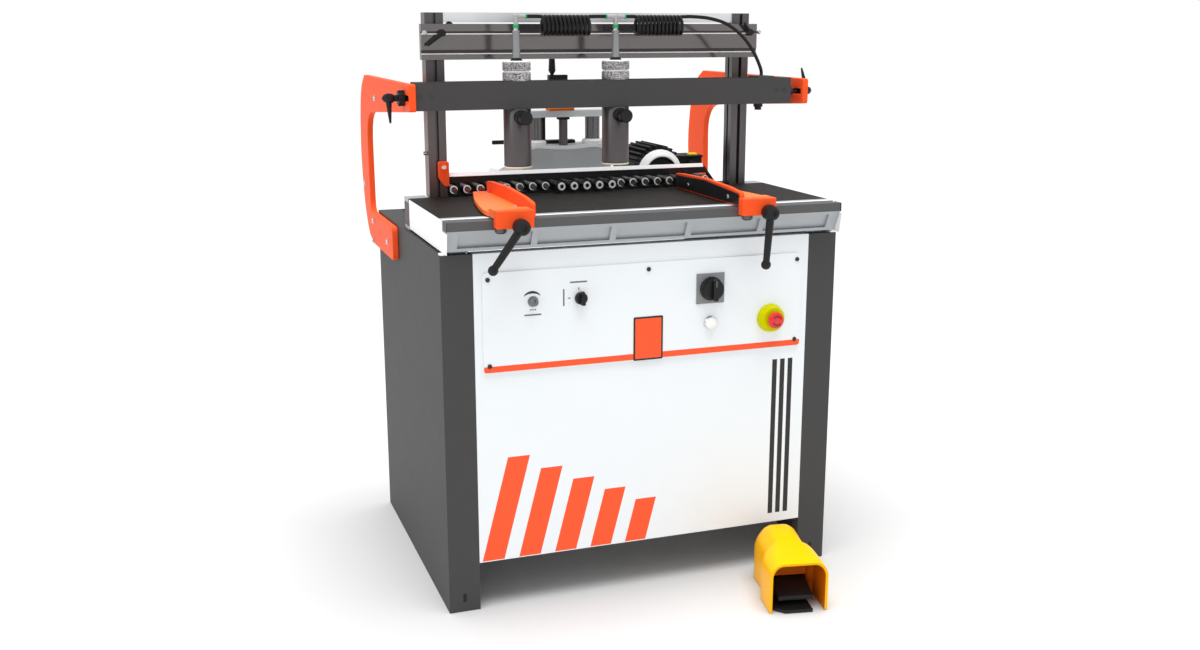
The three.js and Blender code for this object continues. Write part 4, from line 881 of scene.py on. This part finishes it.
def clamp(name, x, port_sides):
    """Cylinder with its two nuts, the riser with its hose ports, and the flow knob."""
    body = name + "_clamp"
    axis = (x, CLAMP_Y)
    cylinder = lathed(name + "_cylinder", "z", axis, CLAMP_BARREL, "cylinder", body, 64, closed=True)
    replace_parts(cylinder, name + "_clamp_cylinder")
    knurled_nut(name + "_lower_nut", axis, *LOWER_NUT, body)
    knurled_nut(name + "_upper_nut", axis, *UPPER_NUT, body)
    # White core between the two nuts: painted highlight on the steel.
    rod(name + "_nut_core_highlight", "z", axis, 28, 1146.5, 1187.9, WHITE_HIGHLIGHT, body)
    rod(name + "_riser", "z", axis, 8.5, 1195, 1255, "riser", body, 1)
    for part, (material, profile) in CLAMP_STACK.items():
        turned(f"{name}_{part}", "z", axis, profile, material, body)
    for side in port_sides:
        port = name + ("_left_" if side < 0 else "_right_")
        profile = [(radius, x + side * at) for radius, at in PORT]
        lathed(port + "port", "x", (CLAMP_Y, PORT_Z), profile, "fitting", body)
        rod(port + "ring", "x", (CLAMP_Y, PORT_Z), 5.3, x + side * 20.6, x + side * 24.2, "green", body)
    turned(name + "_knob_base", "y", (x, CLAMP_KNOB_Z), [(16, 195), (16, 178), (13, 174)], BLACK, body)
    lathed(name + "_knob", "y", (x, CLAMP_KNOB_Z), CLAMP_KNOB, BLACK, body)


def piston(name, x):
    axis = (x, CLAMP_Y)
    pad = turned(name + "_pad", "z", axis, PISTON_PAD, "cream", name + "_piston", 64)
    rod(name + "_rod", "z", axis, 15, 957, 1028, "nickel", name + "_piston")
    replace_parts(pad, name + "_piston")


clamp("left", CLAMPS["left"], [1])
clamp("right", CLAMPS["right"], [-1, 1])
for clamp_name, clamp_x in CLAMPS.items():
    piston(clamp_name, clamp_x)


# Side fences
FENCE_FOOT = 876.3
WEB_FOOT = 878.5
WEB_TOP = 889
BLOCK_FRONT = -57
BLOCK_BACK = -32.3
BLOCK_WIDTH = 82
BLOCK_TOP = 897
FENCE_WALL = [(-30, FENCE_FOOT, 0), (335, FENCE_FOOT, 0), (335, 912, 3), (300, 915, 30), (160, 919, 100),
              (30, 914, 40), (-30, 908, 10)]
FENCE_WEB = [(5, -33, 0), (5, 335, 4), (43, 335, 8), (71, 212, 60), (87, 112, 60), (95, 40, 30), (92, 0, 12),
             (82, -33, 0)]
FENCE_DECK = [(BLOCK_BACK - 4, WEB_FOOT, 0), (-2, WEB_FOOT, 0), (26, WEB_TOP, 0), (-4, BLOCK_TOP, 14),
              (BLOCK_BACK - 4, BLOCK_TOP, 0)]
WEAR_PLATE = [(-24, 880, 0), (331, 880, 0), (331, 908, 3), (160, 914.5, 100), (-24, 904, 8)]


def side_fence(name, x, outward, left, boss_x):
    """Orange casting with an arched wall, a sloping web and a block hooked over the rail."""
    body = name + "_fence"
    wall = rounded(FENCE_WALL)
    main = extruded(body + "_wall", "x", wall, x, x + outward * 10, "orange_paint", body, 1.8)
    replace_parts(main, name + "_side_fence")
    web = rounded([(x + outward * across, y, radius) for across, y, radius in FENCE_WEB])
    # The web and the deck take the lighter orange: painted light on their top faces.
    extruded(body + "_web", "z", web, WEB_FOOT, WEB_TOP, "orange_deck", body, 1.8)
    right = left + BLOCK_WIDTH
    block = rounded([(left, BLOCK_FRONT, 7), (right, BLOCK_FRONT, 7), (right, BLOCK_BACK, 2),
                     (left, BLOCK_BACK, 2)])
    extruded(body + "_block", "z", block, 860, BLOCK_TOP, "orange_paint", body, 2.2)
    low, high = sorted((x, x + outward * 92))
    extruded(body + "_deck", "x", rounded(FENCE_DECK), max(low, left) + 1, min(high, right) - 1,
             "orange_deck", body, 1)
    rod(body + "_boss", "z", (boss_x, -44.6), 12.3, 852, 862, "cylinder", body)
    rod(body + "_boss_low", "z", (boss_x, -44.6), 9, 849.5, 853, "dark_steel", body)
    for i, y in enumerate((60, 300)):
        centre = (x + outward * 17, y)
        screw(f"{body}_screw_{i}", "z", centre, WEB_TOP, 1, 6, "nickel", body, False)


def wear_plate(name, x):
    """A dark plate with two screws on a fence wall's inner face."""
    body = name + "_fence"
    front = x - 2.6
    extruded(name + "_wear_plate", "x", rounded(WEAR_PLATE), x - 0.2, front, "black_bar", body, 0.5)
    for i, y in enumerate((28, 250)):
        screw(f"{name}_wear_screw_{i}", "x", (y, 893), front, -1, 5, "nickel", body, False)


def fence_lever(name, x, z, length, degrees):
    """Hub and bar of a locking lever, with a ball at its end."""
    body = name + "_fence_lever"
    y = BLOCK_FRONT - 0.3
    profile = [(15, y), (17, y - 4), (17.5, y - 18), (16, y - 27), (12, y - 32), (6, y - 32), (6, y - 30)]
    hub = turned(name + "_hub", "y", (x, z), profile, BLACK, body)
    angle = radians(degrees)
    direction = Vector((-sin(angle), 0, -cos(angle)))
    start = Vector((x, y - 16, z))
    tapered_bar(name + "_bar", start + direction * 8, start + direction * (length - 6), 9, 7.5, BLACK, body)
    ball(name + "_ball", start + direction * length, 11, BLACK, body)
    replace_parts(hub, body)


side_fence("left", -265, -1, -357, -345)
side_fence("right", 205, 1, 199, 215)
wear_plate("right", 205)
fence_lever("left", -308, 864.5, 106, 36)
fence_lever("right", 258, 867, 115, 4)


# Tilting head
SADDLE = [(-145, 862, 0), (85, 862, 0), (85, 958, 6), (70, 973, 12), (45, 978, 14), (18, 977, 14),
          (0, 975, 12), (-30, 974, 10), (-60, 975, 12), (-82, 977, 14), (-108, 979, 14), (-134, 974, 12),
          (-145, 958, 6)]
CASE_FRONT = [(440.3, 862, 5), (478, 862, 2), (478, 914, 2), (440.3, 914, 7)]
SHOULDER = [(-214, 862, 0), (-140, 862, 0), (-140, 933, 4), (-190, 931, 12), (-209, 922, 10), (-214, 900, 8)]
MOTOR_CENTRE = (227, 895)
FIN_COUNT = 28
FIN_PROFILE = ((0, 58), (0.3, 58.5), (0.36, 71), (0.64, 71), (0.7, 58.5))


def fence_trim():
    """Aluminium strip and screws of the fence bar, and the dark case behind it."""
    strip = [(354.8, 922.6), (354.8, 923.4), (359.4, 931.1), (364, 931.1), (364, 922.6)]
    # White strip: aluminium with painted highlight.
    extruded("fence_strip", "x", strip, -361.6, 288, WHITE_HIGHLIGHT, "tilt", 0.4, is_smooth=False)
    boxed("case_face", (-361, 438.6, 866), (300, 440.2, 912), "black_bar", "head", 0.3)
    washer = [(5, 359), (5, 357.6), (2.6, 357.4), (2.2, 358.4)]
    for i, x in enumerate((-181.5, 106, 197, 240)):
        turned(f"fence_washer_{i}", "y", (x, 913), washer, "dark_steel", "tilt", 24)


def stop_block():
    """Orange stop on the left upright's front, and a screw on the upright's side."""
    outline = [(-385, 959, 4), (-360, 959, 4), (-360, 902, 3), (-372, 902, 6), (-385, 922, 8)]
    extruded("stop_block", "y", rounded(outline), 358.2, 347, "orange_paint", "tilt", 1.5)
    screw("stop_block_screw", "y", (-372, 946), 347, -1, 6, "nickel", "tilt", False)
    side = cabinet(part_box("left_upright")[0]).x
    rod("upright_screw", "x", (376, 977), 4.6, side - 9, side, "nickel", "tilt")


def bar_lever(name, hub, tip):
    """A small black locking lever on the top bar."""
    tapered_bar(name, hub, tip, 6, 3.5, BLACK, "bar")
    rod(name + "_hub", "y", (hub[0], hub[2]), 8, hub[1] + 8, hub[1] - 6, BLACK, "bar")


def bar_lines():
    """Painted shade in the top bar's two grooves, painted highlights on their lower lips, and the bar's small
    fittings.
    """
    low, high = (cabinet(corner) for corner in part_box("top_bar"))
    start, end, back = low.x + 0.6, high.x - 0.6, low.y + 5.9
    for i, (foot, top) in enumerate(((1202, 1212), (1246, 1253))):
        # Dark strips in the grooves: painted shade.
        groove = (start, low.y + 0.8, foot + 2.4)
        boxed(f"bar_groove_shade_{i}", groove, (end, back, top - 0.1), "groove", "bar", 0.1)
        # Bright lower lips: painted highlight.
        boxed(f"bar_lip_highlight_{i}", (start, low.y + 0.2, foot + 0.1), (end, back, foot + 2.2), WHITE_HIGHLIGHT, "bar", 0.1)
    screw("left_bar_screw", "y", (low.x + 8, 1250), low.y, -1, 6, "nickel", "bar")
    rod("left_bar_knob", "y", (-348, 1266), 9, high.y, high.y + 1.6, BLACK, "bar", 0.3)
    rod("right_bar_stud", "x", (low.y - 5, 1249.5), 3, 398, high.x + 2, "dark_steel", "bar")
    ball("right_bar_ball", (high.x + 4, low.y - 5, 1249.5), 5, "nickel", "bar")


def gear_case():
    """Gear housing with a wavy saddle, column bosses and a soft-edged front case; the saddle's crest, the
    shoulder and the bosses are white, a painted highlight.
    """
    front = extruded("gear_case_front", "x", rounded(CASE_FRONT), -372, 312, "gear_casting", "head", 1.5)
    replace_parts(front, "gear_housing")
    saddle = extruded("gear_saddle", "y", rounded(SADDLE), 473, 560, "gear_casting", "head")
    bores = [((x, COLUMN_Y), 18.8, 840) for x in COLUMNS] + [(LIFT_SCREW, 11.3, 935)]
    cut(saddle, [rod("bore_cutter", "z", centre, radius, foot, 1010, "gear_casting", None, 0.1)
                 for centre, radius, foot in bores])
    bevel(saddle, 2)
    # White strip along the saddle's crest: painted highlight.
    crest = [(x, z - 0.6) for x, z, _ in SADDLE[3:-1]]
    rim = crest + [(x, z - 8) for x, z in crest[::-1]]
    extruded("saddle_rim_highlight", "y", rim, 472.3, 474, WHITE_HIGHLIGHT, "head", 0.3)
    # White shoulder: painted highlight.
    extruded("gear_shoulder", "y", rounded(SHOULDER), 473, 555, WHITE_HIGHLIGHT, "head", 2)
    # White column bosses: painted highlight.
    boss = [(18.9, 960), (27, 960), (27, 984), (24, 988), (18.9, 989)]
    for i, x in enumerate(COLUMNS):
        lathed(f"column_boss_{i}", "z", (x, COLUMN_Y), boss, WHITE_HIGHLIGHT, "head", closed=True)
    boxed("saddle_plate", (-70, 530, 976), (10, 556, 984), "black_bar", "head", 0.8)
    rod("side_handle", "x", (COLUMN_Y, 985.5), 5.2, -216, -131, BLACK, "head", 1.5)


def carriage_trim():
    """Sleeves of the columns and of the lifting screw, with a stay, a key and a collar."""
    for i, x in enumerate(COLUMNS):
        rod(f"column_sleeve_{i}", "z", (x, COLUMN_Y), 18.6, 940, 1044.5, "column_steel", "feed", 0.4, 56)
    boxed("column_stay", (-86, 494, 986), (-80, 508, 1044), BLACK, "feed", 0.8)
    boxed("carriage_key", (-76, 470, 1061), (-12, 505, 1067), "amber", "feed", 0.8)
    collar = [(11.2, 1038), (16.5, 1038), (16.5, 1044.8), (11.2, 1044.8)]
    lathed("screw_collar", "z", LIFT_SCREW, collar, BLACK, "feed", closed=True)
    rod("screw_sleeve", "z", LIFT_SCREW, 11, 950, 1044, "screw_steel", "feed", 0.3)


def motor():
    """Finned motor with a white dished ring, its bright metal with painted highlight, a fan cowl and its
    grille.
    """
    outline = [(0, 500), (0, 489), (36, 489), (43, 478.4), (46, 478.4), (60, 490), (60, 494), (55, 500)]
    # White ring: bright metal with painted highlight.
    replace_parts(lathed("motor_ring", "y", MOTOR_CENTRE, outline, WHITE_HIGHLIGHT, "head", 64), "motor")
    dish = [(36, 488.6), (42.6, 478.8), (43.4, 478.8), (37, 490)]
    turned("motor_dish", "y", MOTOR_CENTRE, dish, "motor", "head", 64)
    rim = [on_circle(MOTOR_CENTRE, radius, 2 * pi * (fin + share) / FIN_COUNT)
           for fin in range(FIN_COUNT) for share, radius in FIN_PROFILE]
    extruded("motor_fins", "y", rim, 500, 642, "motor", "head", 0.6, 2)
    cowl = [(60, 640), (62, 642), (62, 672), (58, 684), (50, 687)]
    turned("motor_cowl", "y", MOTOR_CENTRE, cowl, "motor", "head", 64)
    for i in range(5):
        reach = 14 + i * 8
        slat = [(reach, 686), (reach + 3, 686), (reach + 3, 688), (reach, 688)]
        lathed(f"motor_grille_{i}", "y", MOTOR_CENTRE, slat, BLACK, "head", closed=True)


def terminal_box():
    """The motor's terminal box with its lid, gland and yellow cap."""
    boxed("terminal_box", (283, 504, 896), (351, 574, 930), "motor", "head", 3)
    boxed("terminal_lid", (281, 502, 930), (353, 576, 936), "motor", "head", 2)
    turned("terminal_gland", "y", (320, 912), [(11, 505), (11, 496), (8, 492)], BLACK, "head")
    boxed("terminal_cap", (316, 506, 935), (338, 524, 941), "cap_yellow", "head", 1.5)


# Spindle row
SPINDLES = 21
MIDDLE = SPINDLES // 2
LONG_REACH = 2
SPINDLE_Z = 893
SPINDLE_PITCH = 32
ROW_CENTRE = -30
NECK = 375
SHANK_END = 440
# Front, bore and depth of the bore
LONG_CHUCK = (322, 4.9, 20)
SHORT_CHUCK = (348, 6.6, 3)


def spindle(name, x, is_long):
    """A chuck with its set screw and a white rim, a painted highlight: a long one is open, its bore filled
    with painted shade; a short one holds an off-centre plug that leaves a crescent of the rim showing.
    """
    front, bore, depth = LONG_CHUCK if is_long else SHORT_CHUCK
    centre = (x, SPINDLE_Z)
    profile = [(bore, front + depth), (bore, front + 0.6), (bore + 0.5, front), (8.6, front),
               (9.4, front + 1), (9.4, NECK - 8), (8.6, NECK - 7), (8.6, NECK - 5), (9.4, NECK - 4),
               (9.4, NECK), (8, NECK), (8, SHANK_END)]
    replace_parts(turned(name + "_chuck", "y", centre, profile, "dark_steel", name, 40), name)
    if is_long:
        # Black filling of the long chuck's bore: painted shade.
        rod(name + "_bore_shade", "y", centre, bore - 0.1, front + 3, front + 19, "black_bar", name, 0.2, 24)
    else:
        rod(name + "_face", "y", centre, bore - 0.2, front + 1.4, front + 3, "black_bar", name, 0.2, 24)
        # The plug sits off-centre so that only a crescent of the white rim shows.
        plug = (x + 2.4, SPINDLE_Z - 2)
        rod(name + "_plug", "y", plug, 6.4, front - 0.7, front + 2, "column_steel", name, 0.5, 24)
    # White rim: painted highlight.
    rim = [(bore, front + 1), (bore, front - 0.4), (9, front - 0.4), (9.4, front + 1)]
    lathed(name + "_rim", "y", centre, rim, WHITE_HIGHLIGHT, name, 40, closed=True)
    screw(name + "_set_screw", "z", (x, front + 5), SPINDLE_Z + 9.2, 1, 2.2, "dark_steel", name)


fence_trim()
stop_block()
bar_lever("left_bar_lever", (-371, 334, 1249.5), (-405, 326, 1224))
bar_lever("right_bar_lever", (396, 334, 1249.5), (378, 326, 1270))
bar_lines()
gear_case()
carriage_trim()
motor()
terminal_box()
for number in range(SPINDLES):
    offset = number - MIDDLE
    spindle("spindle_%02d" % (number + 1), ROW_CENTRE + offset * SPINDLE_PITCH, abs(offset) <= LONG_REACH)


# Foot pedal, in a frame turned about its front middle
PEDAL_PLACE = (265, -251)
PEDAL_TURN = radians(-11)
HOOD_WALL = 6
# Distance back, half width, height, run and fall of the flanks, and softness of the crown
HOOD_SECTIONS = [
    (0, 66, 114.5, 18, 20, 60), (5, 66, 116, 18, 20, 60), (30, 66, 120, 19, 22, 60),
    (60, 65.5, 124, 21, 26, 60), (78, 65, 127, 23, 29, 55), (86, 63, 129, 24, 31, 45),
    (90, 57, 131, 24, 33, 38), (94, 51, 133, 24, 35, 32), (98, 50, 134.5, 24, 36, 28),
    (126, 50, 138, 24, 37, 26), (154, 50, 141, 24, 37, 26), (176, 50, 136, 24, 36, 26),
    (192, 49.5, 127, 24, 34, 28), (196, 48, 122, 24, 32, 30)]
TREAD = [(16, 20, 3), (120, 30, 0), (155, 30, 4), (152, 42, 4), (100, 45, 10), (60, 42, 8), (16, 31, 4)]
PEDAL_BASE = [(-54, 14), (-32, -6), (32, -6), (32, 188), (-42, 188), (-42, 92), (-54, 84)]
PARTITION = [(-43, 48), (43, 48), (43, 94), (27, 121), (-27, 121), (-43, 94)]


def on_pedal(x, y, z):
    return (PEDAL_PLACE[0] + x * cos(PEDAL_TURN) - y * sin(PEDAL_TURN),
            PEDAL_PLACE[1] + x * sin(PEDAL_TURN) + y * cos(PEDAL_TURN), z)


def hood_section(y, half, height, run, fall, soft):
    """One arch of the hood, from side to side over its flanks and crown."""
    low = height - fall
    outline = rounded([(-half, 1, 0), (-half, low, 60), (-half + run, height, soft),
                       (half - run, height, soft), (half, low, 60), (half, 1, 0)], 5)
    return [on_pedal(x, y, z) for x, z in outline]


def pedal_hood():
    """Glossy hood, wide in front, waisted and taller behind, closed at its back, with painted shade in amber
    on its inner faces.
    """
    arches = [hood_section(*section) for section in HOOD_SECTIONS]
    vertices = [point for arch in arches for point in arch]
    count = len(arches[0])
    last = len(vertices) - count
    faces = []
    for start in range(0, last, count):
        faces += band(count, start, start + count, is_ring=False)
    faces.append(list(range(last, len(vertices))))
    hood = piece_from("pedal_hood", vertices, faces, "yellow", None)
    # The hood's inner faces take the darker amber: painted shade inside the hood.
    hood.data.materials.append(MATERIALS["amber"])
    smooth(hood.data, 60)
    shell = hood.modifiers.new("wall", "SOLIDIFY")
    shell.thickness = HOOD_WALL * MM
    shell.offset = -1
    shell.material_offset = 1
    bevel(hood, 1.2, 3, 50)
    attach(hood, "root")
    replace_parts(hood, "pedal_shield")


def pedal_block(name, axis, outline, start, end, material, body, edge):
    """An extruded shape in the pedal's frame."""
    first, second = ([on_pedal(*turn_out(axis, a, b, at)) for a, b in outline] for at in (start, end))
    return prism(name, first, second, material, body, edge)


pedal_hood()
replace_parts(pedal_block("pedal_tread", "x", rounded(TREAD), -42, 38, "rubber", "pedal_plate", 1.5), "pedal")
pedal_block("pedal_base", "z", PEDAL_BASE, 1, 8, "rubber", "root", 1.5)
# The partition's amber is painted shade at the back of the pedal's mouth.
pedal_block("pedal_partition", "y", PARTITION, 90, 93, "amber", "root", 0.5)


# Floor, world and lamps
FLOOR_HALF = 14
FLOOR_DROP = 0.0006
FLOOR_COLOR = (0.6, 0.6, 0.6, 1)
WORLD_LIGHT = 0.7


def add_floor():
    mesh = bpy.data.meshes.new("floor")
    corners = [(x * FLOOR_HALF, y * FLOOR_HALF, 0) for x, y in ((-1, -1), (1, -1), (1, 1), (-1, 1))]
    mesh.from_pydata(corners, [], [(0, 1, 2, 3)])
    floor = placed("floor", mesh)
    floor.location.z = -FLOOR_DROP
    material = bpy.data.materials.new("floor")
    Nodes(material).surface({"Base Color": FLOOR_COLOR, "Roughness": 0.8, "Specular IOR Level": 0.1})
    mesh.materials.append(material)


def add_world():
    """An even white world, dimmer as a light than as it is seen."""
    world = bpy.data.worlds.new("world")
    bpy.context.scene.world = world
    nodes = Nodes(world)
    lit = nodes.tree.nodes["Background"]
    nodes.feed(lit, {"Color": WHITE, "Strength": WORLD_LIGHT})
    seen = nodes.add("Background", 0, {"Color": WHITE, "Strength": 1})
    is_seen = nodes.add("LightPath", "Is Camera Ray", {})
    surface = nodes.add("MixShader", 0, {0: is_seen, 1: lit.outputs[0], 2: seen})
    nodes.feed(nodes.tree.nodes["World Output"], {"Surface": surface})


def add_lamp(name, toward, spread, strength, has_glint=False):
    """A broad soft lamp from one direction."""
    data = bpy.data.lights.new(name, "SUN")
    data.angle = radians(spread)
    data.energy = strength
    lamp = placed(name, data)
    lamp.rotation_euler = Vector(toward).to_track_quat("-Z", "Y").to_euler()
    lamp.visible_glossy = has_glint


add_floor()
add_world()
add_lamp("key", (1, 0.3, -0.6), 28, 0.3, True)
add_lamp("top", (0.02, 0.08, -1), 50, 3.6)
bpy.context.scene.view_settings.view_transform = "Standard"

bpy.context.view_layer.update()
